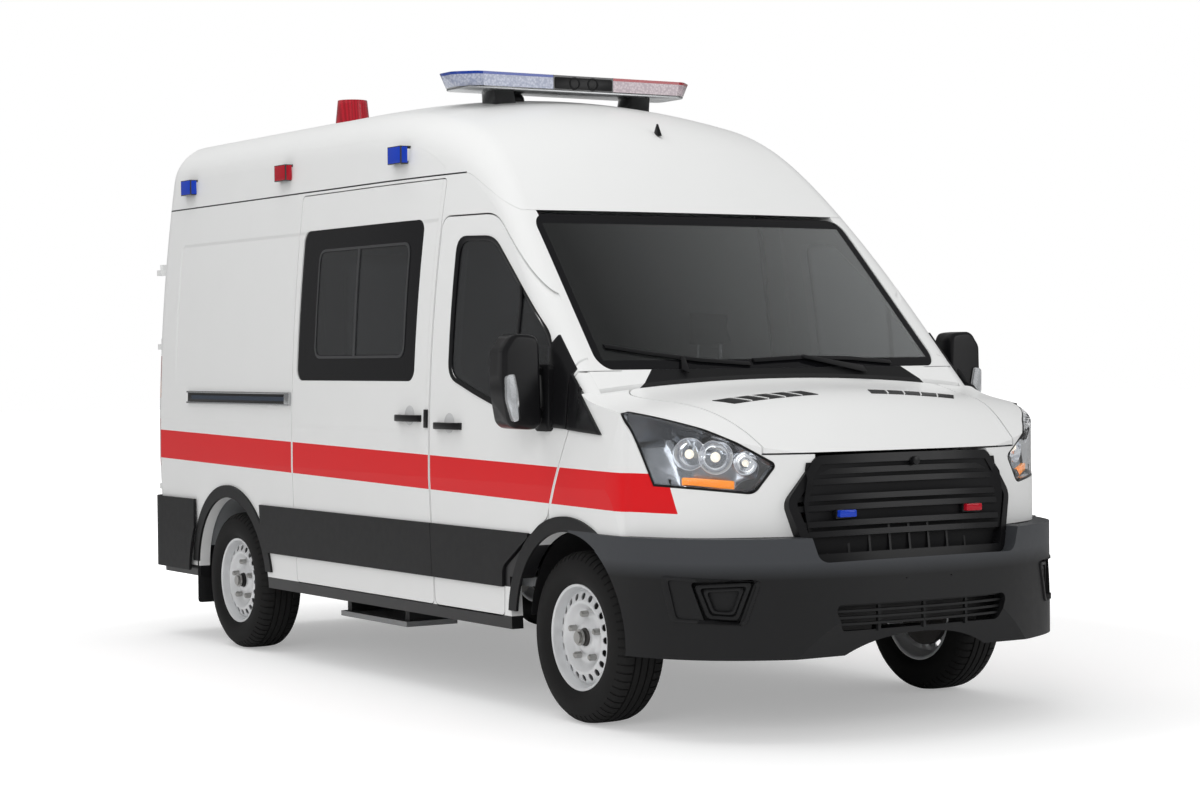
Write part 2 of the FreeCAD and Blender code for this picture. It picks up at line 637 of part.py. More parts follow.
chin = prism("side", [(-10, 300), (-10, 470), (30, 470), (95, 300)], -WIDE, WIDE)
intake = prism("front", [(-430, 520, 25), (430, 520, 25), (385, 415, 25), (-385, 415, 25)],
               back(-50), back(400))
bumper = bumper_form(0, 318, BUMPER_TOP).cut(bumper_form(60, 300, 800)).cut(chin)
ledge = bumper_form(20, BUMPER_TOP - 85, BUMPER_TOP).cut(plan_form(70, 600))
ledge = ledge.common(box(-620, 620, -10, 188, 0, 900)).cut(hex_hole)
fog_pocket = fog_prism(0).cut(bumper_form(34, 300, 800))
bumper = bumper.fuse(ledge)
bumper = bumper.cut(arch(FRONT_AXLE, size("arch_radius") + 6)).cut(hex_hole).cut(intake)
bumper = bumper.cut(fog_pocket).cut(mirrored(fog_pocket))
louvres = Part.makeCompound([box(-440, 440, -10, 400, z, z + 9) for z in (437, 462, 487, 512)])
posts = Part.makeCompound([box(x - 6, x + 6, -10, 400, 410, 525) for x in (-215, 0, 215)])
slats = bumper_form(22, 318, 560).cut(bumper_form(40, 310, 560)).common(louvres)
slats = slats.fuse(bumper_form(30, 318, 560).cut(bumper_form(44, 310, 560)).common(posts))
bumper = bumper.fuse(slats)
bumper = bumper.common(box(-WIDE, WIDE, -10, FLARE_FRONT - 1, 0, 2000))
plate_holes = [Part.makeCylinder(size("plate_hole"), 90, Vector(x, back(-10), size("plate_height")),
                                 Vector(0, 1, 0)) for x in (-size("plate_pitch") / 2, size("plate_pitch") / 2)]
keep("front_bumper", biggest(bumper.cut(Part.makeCompound(plate_holes))))

# --- grille: hexagonal surround, three double bars and a ribbed back -------------------------------
grille_zone = box(-600, 600, 0, 420, 600, 1100)
face_layer = plan_form(-4, 600).cut(plan_form(62, 590)).common(grille_zone)
back_layer = plan_form(42, 600).cut(plan_form(60, 590)).common(grille_zone)
bar_layer = plan_form(4, 600).cut(plan_form(61, 590)).common(grille_zone)
depth0, depth1 = back(-50), back(450)
ring = prism("front", hexagon, depth0, depth1).cut(prism("front", grown(hexagon, -34), depth0, depth1))
inside = prism("front", grown(hexagon, -20), depth0, depth1)
grille = face_layer.common(ring)
for height in (1005, 905, 805):
    for step in (-19, 19):
        bar = prism("front", [(-600, height + step - 11), (600, height + step - 11),
                              (600, height + step + 11), (-600, height + step + 11)], depth0, depth1)
        grille = grille.fuse(bar_layer.common(bar).common(inside))
ribs = [box(x - 5, x + 5, -50, 450, 600, 1100) for x in range(-480, 481, 96)]
mesh = Part.makeCompound(ribs).common(inside)
grille = grille.fuse(back_layer.common(mesh))
keep("grille", leaning(biggest(grille)))

# --- rear bumper with its step, and the black trim along the sides ----------------------------------
tail_end = size("overall_length")
tail_in = WIDE_TRIM - 14
tail_plan = [(-WIDE_TRIM, REAR_AXLE + 420, 0), (-tail_in, REAR_AXLE + 420, 0), (-tail_in, REAR_FACE + 2, 100),
             (tail_in, REAR_FACE + 2, 100), (tail_in, REAR_AXLE + 420, 0),
             (WIDE_TRIM, REAR_AXLE + 420, 0), (WIDE_TRIM, tail_end, 130), (-WIDE_TRIM, tail_end, 130)]
tail = prism("plan", tail_plan, 370, size("tail_bumper_top"))
tail = tail.cut(box(-940, 940, REAR_FACE - 50, 6000, 580, 3000))
tail = tail.fuse(box(-900, 900, REAR_FACE - 40, tail_end - 5, 520, 575))
tail = tail.cut(arch(REAR_AXLE, size("arch_radius") + 64)).cut(seat_form)
keep("rear_bumper", biggest(tail))

trim = form(-size("trim_thick"), SILL).cut(seat_form)
band = [(REAR_AXLE - 380, 515), (REAR_AXLE - 380, 750), (FRONT_AXLE + 300, 750), (FRONT_AXLE + 300, 515)]
flares = arch(FRONT_AXLE, size("arch_radius") + size("flare_width")).fuse(
    arch(REAR_AXLE, size("arch_radius") + size("flare_width"))).cut(arches)
flares = flares.common(box(-WIDE, WIDE, FLARE_FRONT, 6000, 420, 3000))
band_prism = side_prism(band).cut(arches)
fixed_band = band_prism.cut(side_prism(front_door, 0, 2)).common(box(-WIDE, WIDE, DOOR_REAR + 3, 6000, 0, 3000))
flare_trim = trim.common(flares.fuse(fixed_band)).cut(side_prism(front_door, 0, 2))
cladding = [s for s in flare_trim.Solids if s.Volume > 20000]
keep("side_cladding", Part.makeCompound(cladding))
for name, sign in (("left", 1), ("right", -1)):
    door_band = band_prism.common(side_prism(front_door, sign)).cut(flares)
    keep(f"front_door_cladding_{name}", biggest(trim.common(door_band)))

# --- load floor with the rear wheel housings, and the cab floor -------------------------------------
UNDER = FLOOR - size("floor_thick")
near_wall = form(WALL + 1, SILL - 20)
floor = box(-1000, 1000, DOOR_REAR + 75, REAR_FACE - WALL - 8, UNDER, FLOOR)
housing = arch(REAR_AXLE, LINER, 1000)
bay = housing.cut(box(-690, 690, 0, 6000, -500, 3000))
keep("floor", biggest(floor.cut(arch(REAR_AXLE, LINER + SEAT, 1000).cut(
    box(-690 + SEAT, 690 - SEAT, 0, 6000, -500, 3000))).common(near_wall)))
rear_drum = bay.cut(arch(REAR_AXLE, LINER - 5)).fuse(housing.common(box(690, 695, 0, 6000, -500, 3000)))
rear_drum = rear_drum.common(box(0, 1000, 0, 6000, 500, 3000)).common(near_wall)
keep("wheel_housings", both(biggest(rear_drum)))
cab = box(-938, 938, 1300, DOOR_REAR + 80, size("cab_floor") - 40, size("cab_floor")).cut(liner_room)
riser = box(-938, 938, DOOR_REAR + 64, DOOR_REAR + 75 - SEAT, size("cab_floor") - 40, FLOOR)
keep("cab_floor", biggest(cab.cut(box(-950, 950, DOOR_REAR + 75 - SEAT, 6000, 0, 1000)).fuse(riser)))

# --- frame under the floor: two rails, kicked up over the rear axle, with cross members ---------------
RAIL_X, RAIL_WIDE = size("rail_half"), size("rail_wide")
RAIL_TOP = UNDER - SEAT
TOW_AT = REAR_FACE - 150
rail_side = [(185, 400), (1750, 400), (2000, 450), (3600, 450), (3850, 545), (4800, 545), (5050, 500),
             (REAR_FACE - 61, 500), (REAR_FACE - 61, RAIL_TOP), (DOOR_REAR + 130, RAIL_TOP), (DOOR_REAR + 90, 515), (185, 515)]
rail = prism("side", rail_side, RAIL_X - RAIL_WIDE / 2, RAIL_X + RAIL_WIDE / 2)
frame = rail.fuse(mirrored(rail))
frame = frame.fuse(box(-480, 480, 135, 190, 425, 510))
for at, low, high in ((290, 425, 510), (1720, 420, 500), (2600, 500, 560), (3500, 500, 560), (4000, 580, 640),
                      (4700, 580, 640), (TOW_AT - 35, 540, 620)):
    frame = frame.fuse(box(-RAIL_X, RAIL_X, at, at + 70, low, high))
for at in (2450, 3250):
    frame = frame.fuse(box(-930, 930, at, at + 50, 560, RAIL_TOP))
engine_side = size("engine_wide") / 2 + SEAT
mount = box(engine_side, RAIL_X, 690, 750, 440, 514)
frame = frame.fuse(mount).fuse(mirrored(mount))
frame = frame.fuse(box(-RAIL_X, RAIL_X, TOW_AT - 70, TOW_AT + 70, 505, 520))
for sx in (-1, 1):
    for sy in (-1, 1):
        spot = Vector(sx * size("tow_pitch_x") / 2, back(TOW_AT + sy * size("tow_pitch_y") / 2), 500)
        frame = frame.cut(Part.makeCylinder(size("tow_hole"), 25, spot))
keep("chassis_frame", frame.removeSplitter())
stops = both(Part.makeCylinder(12, 500, Vector(300, back(330), 980))).common(nose_form(30 + SEAT, SILL))
bonnet_stops = doc.addObject("Part::Feature", "bonnet_stops")
bonnet_stops.Shape = stops
core = block("radiator_core", "-Sizes.radiator_half", "Sizes.radiator_half", "Sizes.radiator_back",
             "Sizes.radiator_back + 60", "510 + Sizes.seat_gap", "985")
joined("radiator", [core, bonnet_stops])

engine = doc.addObject("Part::Box", "engine")
engine.Label = "engine"
for prop, value in (("Length", "Sizes.engine_wide"), ("Width", "Sizes.engine_long"),
                    ("Height", "Sizes.engine_high")):
    engine.setExpression(prop, value)
engine.Placement = Placement(Vector(-size("engine_wide") / 2, back(500), 455), Rotation())
nodes["engine"] = engine

# --- front suspension cross member with lower arms and struts -----------------------------------------
WHEEL_Z = size("tyre_radius")
KINGPIN = size("kingpin_half")
subframe = box(-420, 420, FRONT_AXLE - 130, FRONT_AXLE + 130, 255, 330)
subframe = subframe.fuse(box(-420, -380, FRONT_AXLE - 130, FRONT_AXLE + 130, 255, 400 - SEAT)).fuse(
    box(380, 420, FRONT_AXLE - 130, FRONT_AXLE + 130, 255, 400 - SEAT))
ARM_TOP = 290
arm = prism("plan", [(400, FRONT_AXLE - 120, 15), (KINGPIN - 60, FRONT_AXLE - 24, 20),
                     (KINGPIN - 14, FRONT_AXLE - 14, 8), (KINGPIN - 14, FRONT_AXLE + 14, 8),
                     (KINGPIN - 60, FRONT_AXLE + 24, 20), (400, FRONT_AXLE + 120, 15)], 258, ARM_TOP)
subframe = subframe.fuse(arm).fuse(mirrored(arm)).cut(box(-330, 330, FRONT_AXLE - 60, FRONT_AXLE + 60, 200, 500))
keep("front_subframe", subframe.removeSplitter())


def tube(x0, x1, radius, axle, height=None):
    z = WHEEL_Z if height is None else height
    return Part.makeCylinder(radius, x1 - x0, Vector(x0, back(axle), z), Vector(1, 0, 0))


# --- wheels: tyre and rim turned about the axle, hub and brake disc behind the rim ----------------------
def turned(profile, x_at, axle):
    """Profile of (offset outward, radius, rounding) turned about the axle."""
    starts, middles, ends = rounded(profile)
    edges = []
    for i in range(len(profile)):
        s, e, n = starts[i], ends[i], starts[(i + 1) % len(profile)]
        if middles[i] is not None:
            edges.append(Part.Arc(*(Vector(q.x, 0, q.y) for q in (s, middles[i], e))).toShape())
        if (n - e).Length > 0.01:
            edges.append(Part.LineSegment(Vector(e.x, 0, e.y), Vector(n.x, 0, n.y)).toShape())
    solid = Part.Face(Part.Wire(edges)).revolve(Vector(0, 0, 0), Vector(1, 0, 0), 360)
    return solid.translated(Vector(x_at, back(axle), WHEEL_Z))


T, W, B = size("tyre_radius"), size("tyre_width") / 2, size("rim_radius")
tyre_profile = [(-W + 26, B, 0), (W - 26, B, 0), (W, B + 52, 50), (W - 9, T - 9, 22),
                (W - 44, T, 120), (44 - W, T, 120), (9 - W, T - 9, 22), (-W, B + 52, 50)]
FACE = size("rim_offset")
rim_profile = [(-W + 20, B + 12, 3), (-W + 20, B - 8, 4), (-60, B - 14, 20), (FACE - 38, B - 26, 25),
               (FACE, B - 68, 20), (FACE, 78, 8), (FACE + 32, 66, 6), (FACE + 32, 34, 0),
               (FACE - 70, 34, 0), (FACE - 70, 80, 0), (FACE - 12, 80, 0), (FACE - 12, B - 74, 20),
               (FACE - 50, B - 36, 20), (FACE - 44, B - 9, 10), (W - 20, B - 8, 4), (W - 20, B + 12, 3),
               (W - 26, B + 12, 2), (W - 26, B - 0.3, 0), (-W + 26, B - 0.3, 0), (-W + 26, B + 12, 2)]
disc_profile = [(FACE - 110, 60, 0), (FACE - 70, 60, 0), (FACE - 70, 120, 0), (FACE - 86, 120, 0),
                (FACE - 86, size("disc_radius"), 0), (FACE - 110, size("disc_radius"), 0)]
hub_profile = [(FACE - 110, 34, 0), (FACE - 60, 34, 0), (FACE - 60, 61, 0), (FACE - 110, 61, 0)]
STUB = 34 - 0.05
HOLES, HOLE_RING = 16, size("rim_hole_ring")
HOLE_LONG, HOLE_HIGH = 38, 24
for place_name, axle, track in (("front", FRONT_AXLE, size("front_track")),
                                ("rear", REAR_AXLE, size("rear_track"))):
    for side_name, sign in (("left", 1), ("right", -1)):
        tyre = turned(tyre_profile, track / 2, axle)
        rim = turned(rim_profile, track / 2, axle).fuse(turned(disc_profile, track / 2, axle))
        rim = rim.fuse(turned(hub_profile, track / 2, axle))
        slot_low, slot_high = WHEEL_Z + HOLE_RING - HOLE_HIGH / 2, WHEEL_Z + HOLE_RING + HOLE_HIGH / 2
        slot = prism("side", [(axle - HOLE_LONG / 2, slot_low, 11), (axle + HOLE_LONG / 2, slot_low, 11),
                              (axle + HOLE_LONG / 2, slot_high, 11), (axle - HOLE_LONG / 2, slot_high, 11)],
                     track / 2 + FACE - 60, track / 2 + FACE + 20)
        wheel_centre = Vector(0, back(axle), WHEEL_Z)
        holes = [slot.rotated(wheel_centre, Vector(1, 0, 0), k * 360 / HOLES) for k in range(HOLES)]
        rim = rim.cut(Part.makeCompound(holes))
        if sign < 0:
            tyre, rim = mirrored(tyre), mirrored(rim)
        keep(f"tyre_{place_name}_{side_name}", tyre)
        keep(f"rim_{place_name}_{side_name}", biggest(rim))

# --- rear axle: beam, differential, stub ends, brake callipers and leaf springs ------------------------
half_track = size("rear_track") / 2
stub_end = half_track + FACE + 28
beam = tube(-half_track + 75, half_track - 75, 42, REAR_AXLE)
beam = beam.fuse(tube(-stub_end, stub_end, STUB, REAR_AXLE))
diff = Part.makeSphere(135, Vector(0, back(REAR_AXLE), WHEEL_Z), Vector(1, 0, 0))
diff = diff.common(tube(-110, 110, 200, REAR_AXLE))
axle_shape = beam.fuse(diff)
spring_side = [(REAR_AXLE - 640, 470), (REAR_AXLE - 90, 400), (REAR_AXLE + 90, 400),
               (REAR_AXLE + 640, 480), (REAR_AXLE + 640, 505), (REAR_AXLE + 90, 425),
               (REAR_AXLE - 90, 425), (REAR_AXLE - 640, 495)]
spring = prism("side", spring_side, RAIL_X + 60, RAIL_X + 125)
seat = box(RAIL_X + 60, RAIL_X + 125, REAR_AXLE - 50, REAR_AXLE + 50, WHEEL_Z + 20, 405)
eyes = box(RAIL_X + 30, RAIL_X + 125, REAR_AXLE - 650, REAR_AXLE - 610, 470, 560).fuse(
    box(RAIL_X + 30, RAIL_X + 125, REAR_AXLE + 610, REAR_AXLE + 650, 480, 560))
for part in (spring, seat, eyes):
    axle_shape = axle_shape.fuse(part).fuse(mirrored(part))
eye_room = rail.fuse(mirrored(rail))
keep("rear_axle", biggest(axle_shape.cut(eye_room)))

# --- knuckles: upright, steering arm, calliper and the stub that the hub turns on ----------------------
KING, AXLE, WHEEL = "Sizes.kingpin_half", "Sizes.front_overhang", "Sizes.tyre_radius"
upright = block("upright", f"{KING} - 32", f"{KING} - 2", f"{AXLE} - 60", f"{AXLE} + 60",
                f"{ARM_TOP} + Sizes.seat_gap", "470")
steering_arm = block("steering_arm", f"{KING} - 30", f"{KING} - 6", f"{AXLE} + 50", f"{AXLE} + 170", "300", "330")
strut_foot = block("strut_foot", f"{KING} - 60", f"{KING} - 2", f"{AXLE} - 40", f"{AXLE} + 40", "440", "480")
hub_stub = rod("hub_stub", f"{STUB}", f"Sizes.front_track / 2 + Sizes.rim_offset + 48 - {KING}",
               f"{KING} - 20", AXLE, WHEEL, Vector(1, 0, 0))
strut = rod("strut", "28", "290", f"{KING} - 60", AXLE, "460", Vector(-0.12, 0, 1))
knuckle = joined("knuckle_left", [upright, steering_arm, strut_foot, hub_stub, strut])
knuckle_right = doc.addObject("Part::Mirroring", "knuckle_right")
knuckle_right.Label = "knuckle_right"
knuckle_right.Source = knuckle
knuckle_right.Normal = Vector(1, 0, 0)
nodes["knuckle_right"] = knuckle_right

# --- cab: bulkhead, dashboard, steering wheel, seats ----------------------------------------------------
keep("bulkhead", prism("front", [(-925, FLOOR), (925, FLOOR), (925, 1150), (790, 2240), (-790, 2240),
                                 (-925, 1150)], back(DOOR_REAR + 82), back(DOOR_REAR + 105)))
dash_side = [(1010 + SEAT, 900, 0), (1010 + SEAT, 1290, 20), (1190, 1300, 60), (1330, 1220, 80), (1420, 1030, 60),
             (1400, 860, 40), (1200, 760, 60)]
WHEEL_X, TILT = 420, 38
wheel_axis = Vector(0, math.cos(math.radians(TILT)), math.sin(math.radians(TILT)))
wheel_at = Vector(WHEEL_X, back(1535), 1180)
turn = Rotation(Vector(0, 0, 1), wheel_axis)
column_room = Part.makeCylinder(20 + SEAT, 300, wheel_at - wheel_axis * 300, wheel_axis)
keep("dashboard", prism("side", dash_side, -862, 862).cut(column_room))

here = ("0", "0", "0")
rim_ring = bound("Part::Torus", "steering_rim", here, Radius1="Sizes.steering_radius", Radius2="15")
pieces = [rim_ring]
for angle in (90, 210, 330):
    along = Vector(math.cos(math.radians(angle)), math.sin(math.radians(angle)), 0)
    spoke = bound("Part::Cylinder", f"spoke_{angle}", ("0", "0", "-6"), Rotation(Vector(0, 0, 1), along),
                  Radius="12", Height="Sizes.steering_radius - 3")
    pieces.append(spoke)
pieces.append(bound("Part::Cylinder", "steering_boss", ("0", "0", "-25"), Radius="60", Height="40"))
pieces.append(bound("Part::Cylinder", "steering_column", ("0", "0", "-260"), Radius="20", Height="240"))
joined("steering_wheel", pieces).Placement = Placement(wheel_at, turn)

SEAT_X = 470
seat_side = [(1700, 740, 30), (2150, 740, 40), (2195, 860, 30), (2205, 1480, 40),
             (2115, 1480, 40), (2050, 890, 40), (1700, 880, 50)]
cushion = prism("side", seat_side, SEAT_X - 245, SEAT_X + 245)
head = prism("side", [(2120, 1500, 30), (2200, 1500, 30), (2190, 1680, 30), (2125, 1680, 30)],
             SEAT_X - 130, SEAT_X + 130)
pedestal = box(SEAT_X - 200, SEAT_X + 200, 1760, 2130, size("cab_floor"), 740)
posts = box(SEAT_X - 70, SEAT_X - 58, 2152, 2164, 1400, 1560).fuse(
    box(SEAT_X + 58, SEAT_X + 70, 2152, 2164, 1400, 1560))
seat_shape = cushion.fuse(head).fuse(pedestal).fuse(posts)
keep("cab_seats", both(seat_shape))

# --- roof equipment: light bar on two feet, rear beacon and six flank lamps -----------------------------
BAR_AT, BAR_HALF = 2640, size("bar_half")
BAR_LOW = ROOF - 12
bar_plan = [(-BAR_HALF, BAR_AT - 60, 50), (90 - BAR_HALF, BAR_AT - 150, 60), (BAR_HALF - 90, BAR_AT - 150, 60),
            (BAR_HALF, BAR_AT - 60, 50), (BAR_HALF, BAR_AT + 60, 50), (BAR_HALF - 90, BAR_AT + 150, 60),
            (90 - BAR_HALF, BAR_AT + 150, 60), (-BAR_HALF, BAR_AT + 60, 50)]
bar = prism("plan", bar_plan, BAR_LOW, BAR_LOW + 86)
foot = prism("front", [(300, 2600), (420, 2600), (430, BAR_LOW + 5), (330, BAR_LOW + 5)], back(BAR_AT - 60),
             back(BAR_AT + 60)).cut(seat_form)
bar = bar.fuse(biggest(foot)).fuse(mirrored(biggest(foot)))
keep("light_bar", bar)
beacon = Part.makeCone(86, 70, 178, Vector(0, back(4860), ROOF)).cut(seat_form)
lamps = [biggest(beacon)]
for at in (2575, 3785, 4960):
    lamp_box = box(780, 958, at - 62, at + 62, 2345, 2425).cut(seat_form)
    lamps += [biggest(lamp_box), mirrored(biggest(lamp_box))]
keep("roof_lamps", Part.makeCompound(lamps))

# --- mirrors on the front doors ---------------------------------------------------------------------------
M = size("mirror_half")
head_front = [(1092, 1172, 45), (1212, 1190, 55), (M, 1330, 200), (M - 4, 1500, 55), (1185, 1566, 50),
              (1104, 1556, 45)]
mirror_head = prism("front", head_front, back(1125), back(1235))
mirror_head = mirror_head.makeFillet(18, [e for e in mirror_head.Edges if abs(e.BoundBox.YMax - back(1125)) < 1
                                          and e.BoundBox.YLength < 1])
mirror_arm = box(985, 1110, 1160, 1205, 1225, 1262).fuse(box(985, 1110, 1165, 1200, 1398, 1425))
sail = prism("side", [(1120, 1170, 20), (1235, 1170, 20), (1235, 1440, 20), (1120, 1440, 20)], 900, 1030)
mirror = mirror_head.fuse(mirror_arm).fuse(sail).cut(seat_form)
keep("mirror_left", biggest(mirror))
keep("mirror_right", mirrored(biggest(mirror)))

# --- under the body: fuel tank, exhaust and the powered side step ------------------------------------------
keep("fuel_tank", prism("front", [(520, 300, 40), (880, 300, 60), (900, 560 - SEAT, 30),
                                  (520, 560 - SEAT, 30)], back(2350), back(3150)))
ALONG = Vector(0, 1, 0)
pipe = rod("exhaust_pipe", "28", "Sizes.overall_length - Sizes.side_offset - 2000", "-250", "1900",
           "Sizes.exhaust_height", ALONG)
muffler = rod("muffler", "78", "620", "-250", "2720", "Sizes.exhaust_height", ALONG)
hanger = block("exhaust_hanger", "-256", "-244", "2620", "2650", "Sizes.exhaust_height",
               "500 - Sizes.seat_gap")
joined("exhaust", [pipe, muffler, hanger])

STEP_START, STEP_END = "Sizes.step_back", "(Sizes.step_back + Sizes.step_long)"
STEP_TOP, ARM_RISE = "(Sizes.step_low + 24)", "(Sizes.step_low + 68)"
UNDER_FLOOR = "Sizes.floor_height - Sizes.floor_thick - Sizes.seat_gap"
step = block("side_step", "-965", "-705", STEP_START, STEP_END, "Sizes.step_low", f"{STEP_TOP} - Sizes.seat_gap")
nodes["side_step"] = step
carrier = [block("carrier_front", "-940", "-560", f"{STEP_START} + 20", f"{STEP_START} + 60", STEP_TOP, ARM_RISE),
           block("carrier_rear", "-940", "-560", f"{STEP_END} - 60", f"{STEP_END} - 20", STEP_TOP, ARM_RISE),
           block("carrier_beam", "-640", "-560", f"{STEP_START} + 20", f"{STEP_END} - 20", STEP_TOP, ARM_RISE),
           block("hanger_front", "-600", "-560", f"{STEP_START} + 60", f"{STEP_START} + 100", ARM_RISE, UNDER_FLOOR),
           block("hanger_rear", "-600", "-560", f"{STEP_END} - 100", f"{STEP_END} - 60", ARM_RISE, UNDER_FLOOR)]
joined("step_carrier", carrier)


# ---------------------------------------------------------------------------
# Check every object, then write one STEP file for each sub-part
# ---------------------------------------------------------------------------
doc.recompute()
for item in doc.Objects:
    if "Invalid" in item.State or "Error" in item.State:
        raise RuntimeError(f"{item.Name}: {item.State}")
for name, feature in nodes.items():
    if feature.Shape.isNull() or not feature.Shape.isValid():
        raise RuntimeError(f"{name} has no valid shape")
os.makedirs("parts", exist_ok=True)
for name, feature in nodes.items():
    feature.Shape.exportStep(os.path.join("parts", f"{name}.step"))
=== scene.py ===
import math

import bpy
from mathutils import Matrix, Vector


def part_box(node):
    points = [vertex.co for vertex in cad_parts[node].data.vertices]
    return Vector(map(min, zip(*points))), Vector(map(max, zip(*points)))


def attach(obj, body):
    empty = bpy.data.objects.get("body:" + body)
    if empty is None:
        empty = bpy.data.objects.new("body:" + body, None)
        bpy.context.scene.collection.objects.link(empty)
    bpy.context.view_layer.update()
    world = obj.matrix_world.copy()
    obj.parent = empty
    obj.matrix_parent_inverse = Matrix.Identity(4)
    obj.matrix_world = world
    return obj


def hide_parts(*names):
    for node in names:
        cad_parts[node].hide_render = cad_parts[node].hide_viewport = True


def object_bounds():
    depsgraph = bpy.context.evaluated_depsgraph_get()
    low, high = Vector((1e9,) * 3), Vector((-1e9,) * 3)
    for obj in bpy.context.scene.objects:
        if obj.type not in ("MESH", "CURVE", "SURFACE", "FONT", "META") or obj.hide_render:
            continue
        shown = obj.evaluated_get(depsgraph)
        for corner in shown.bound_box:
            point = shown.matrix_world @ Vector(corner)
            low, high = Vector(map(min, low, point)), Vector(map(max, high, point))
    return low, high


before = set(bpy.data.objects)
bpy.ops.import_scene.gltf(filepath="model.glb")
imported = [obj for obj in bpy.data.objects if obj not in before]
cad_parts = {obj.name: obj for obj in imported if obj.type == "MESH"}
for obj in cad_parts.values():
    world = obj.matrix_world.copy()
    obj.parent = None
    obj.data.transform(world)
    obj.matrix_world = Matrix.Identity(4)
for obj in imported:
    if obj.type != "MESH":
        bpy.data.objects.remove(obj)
cad_box = [list(corner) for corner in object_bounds()]
FRONT = cad_box[0][1]


def back(distance):
    """Y of a place that many metres behind the front end."""
    return FRONT + distance


# ---------------------------------------------------------------------------
# Body shell: pressed steel panels, primed, sprayed white and lacquered, with
# the red stripe masked and sprayed along both sides and the sills left black.
# ---------------------------------------------------------------------------
WHITE, SHADE_WHITE = (0.83, 0.835, 0.83, 1), (0.80, 0.805, 0.80, 1)
RED = (0.72, 0.0, 0.004, 1)
SILL_BLACK = (0.012, 0.012, 0.013, 1)
SILL_TOP, FLANK = 0.394, 0.62
BAND_TIP, BAND_SPAN = (1.25, 1.62), (0.517, 0.748)
STRIPE_LOW, STRIPE_RISE, STRIPE_TALL = 0.859, 0.0175, 0.150
STRIPE_FRONT, STRIPE_SLANT, STRIPE_END = 0.411, 0.273, 5.25
SEAM_GAP, SEAMS = 0.009, (2.167, 3.562)
DOOR_SEAM, DOOR_SEAM_HIGH, DOOR_SEAM_LEAN = 1.004, 1.18, 0.478
GUTTER, GUTTER_HALF, GUTTER_RUN = 2.275, 0.0035, (2.03, 5.24)
PRESSING_TOP, PRESSING_START, PRESSING_END, PRESSING_DEEP = 2.085, 2.2, 5.02, 0.006
PRESSING_CORNER, PRESSING_EDGE, PRESSING_FLANK = 0.05, 0.030, 0.90
PRESSING_FADE, CREASE, CREASE_SHARE = (1.30, 1.55), (1.135, 1.165), 0.35


def node(tree, kind, values=(), **settings):
    """A shader node, with its settings and the values or links of its inputs in order."""
    made = tree.nodes.new("ShaderNode" + kind)
    for name, setting in settings.items():
        setattr(made, name, setting)
    for place, value in enumerate(values):
        if isinstance(value, bpy.types.NodeSocket):
            tree.links.new(value, made.inputs[place])
        elif value is not None:
            made.inputs[place].default_value = value
    return made


def sums(tree, operation, *values):
    """A Math node's result."""
    return node(tree, "Math", values, operation=operation).outputs[0]


def times(tree, first, second):
    """The product of two values."""
    return sums(tree, "MULTIPLY", first, second)


def scaled(tree, value, factor, offset):
    """The value times a factor, plus an offset."""
    return sums(tree, "MULTIPLY_ADD", value, factor, offset)


def less(tree, value, other):
    """The value less another."""
    return sums(tree, "SUBTRACT", value, other)


def over(tree, value, limit):
    """1 where the value is over a limit."""
    return sums(tree, "GREATER_THAN", value, limit)


def under(tree, value, limit):
    """1 where the value is under a limit."""
    return sums(tree, "LESS_THAN", value, limit)


def between(tree, value, low, high):
    """1 where the value lies between two limits."""
    return times(tree, over(tree, value, low), under(tree, value, high))


def clamped(tree, value, top=1.0):
    """The value held between 0 and a top."""
    return sums(tree, "MINIMUM", sums(tree, "MAXIMUM", value, 0.0), top)


def ramp(tree, value, low, high):
    """Rises softly from 0 to 1 between two limits."""
    return node(tree, "MapRange", [value, low, high, 0.0, 1.0],
                interpolation_type="SMOOTHSTEP").outputs[0]


def size_of(tree, value):
    """The value without its sign."""
    return sums(tree, "ABSOLUTE", value)


def places(tree):
    """Object coordinates as a vector and as X, Y and Z."""
    spot = node(tree, "TexCoord").outputs["Object"]
    split = node(tree, "SeparateXYZ", [spot])
    return spot, split.outputs[0], split.outputs[1], split.outputs[2]


def mixed(tree, share, first, second):
    """First colour where the share is 0, second where it is 1."""
    colours = [share, None, None, None, None, None, first, second]
    return node(tree, "Mix", colours, data_type="RGBA").outputs[2]


def blank(name):
    """A new material with its node tree and its shader's inputs."""
    material = bpy.data.materials.new(name)
    material.use_nodes = True
    return material, material.node_tree, material.node_tree.nodes["Principled BSDF"].inputs


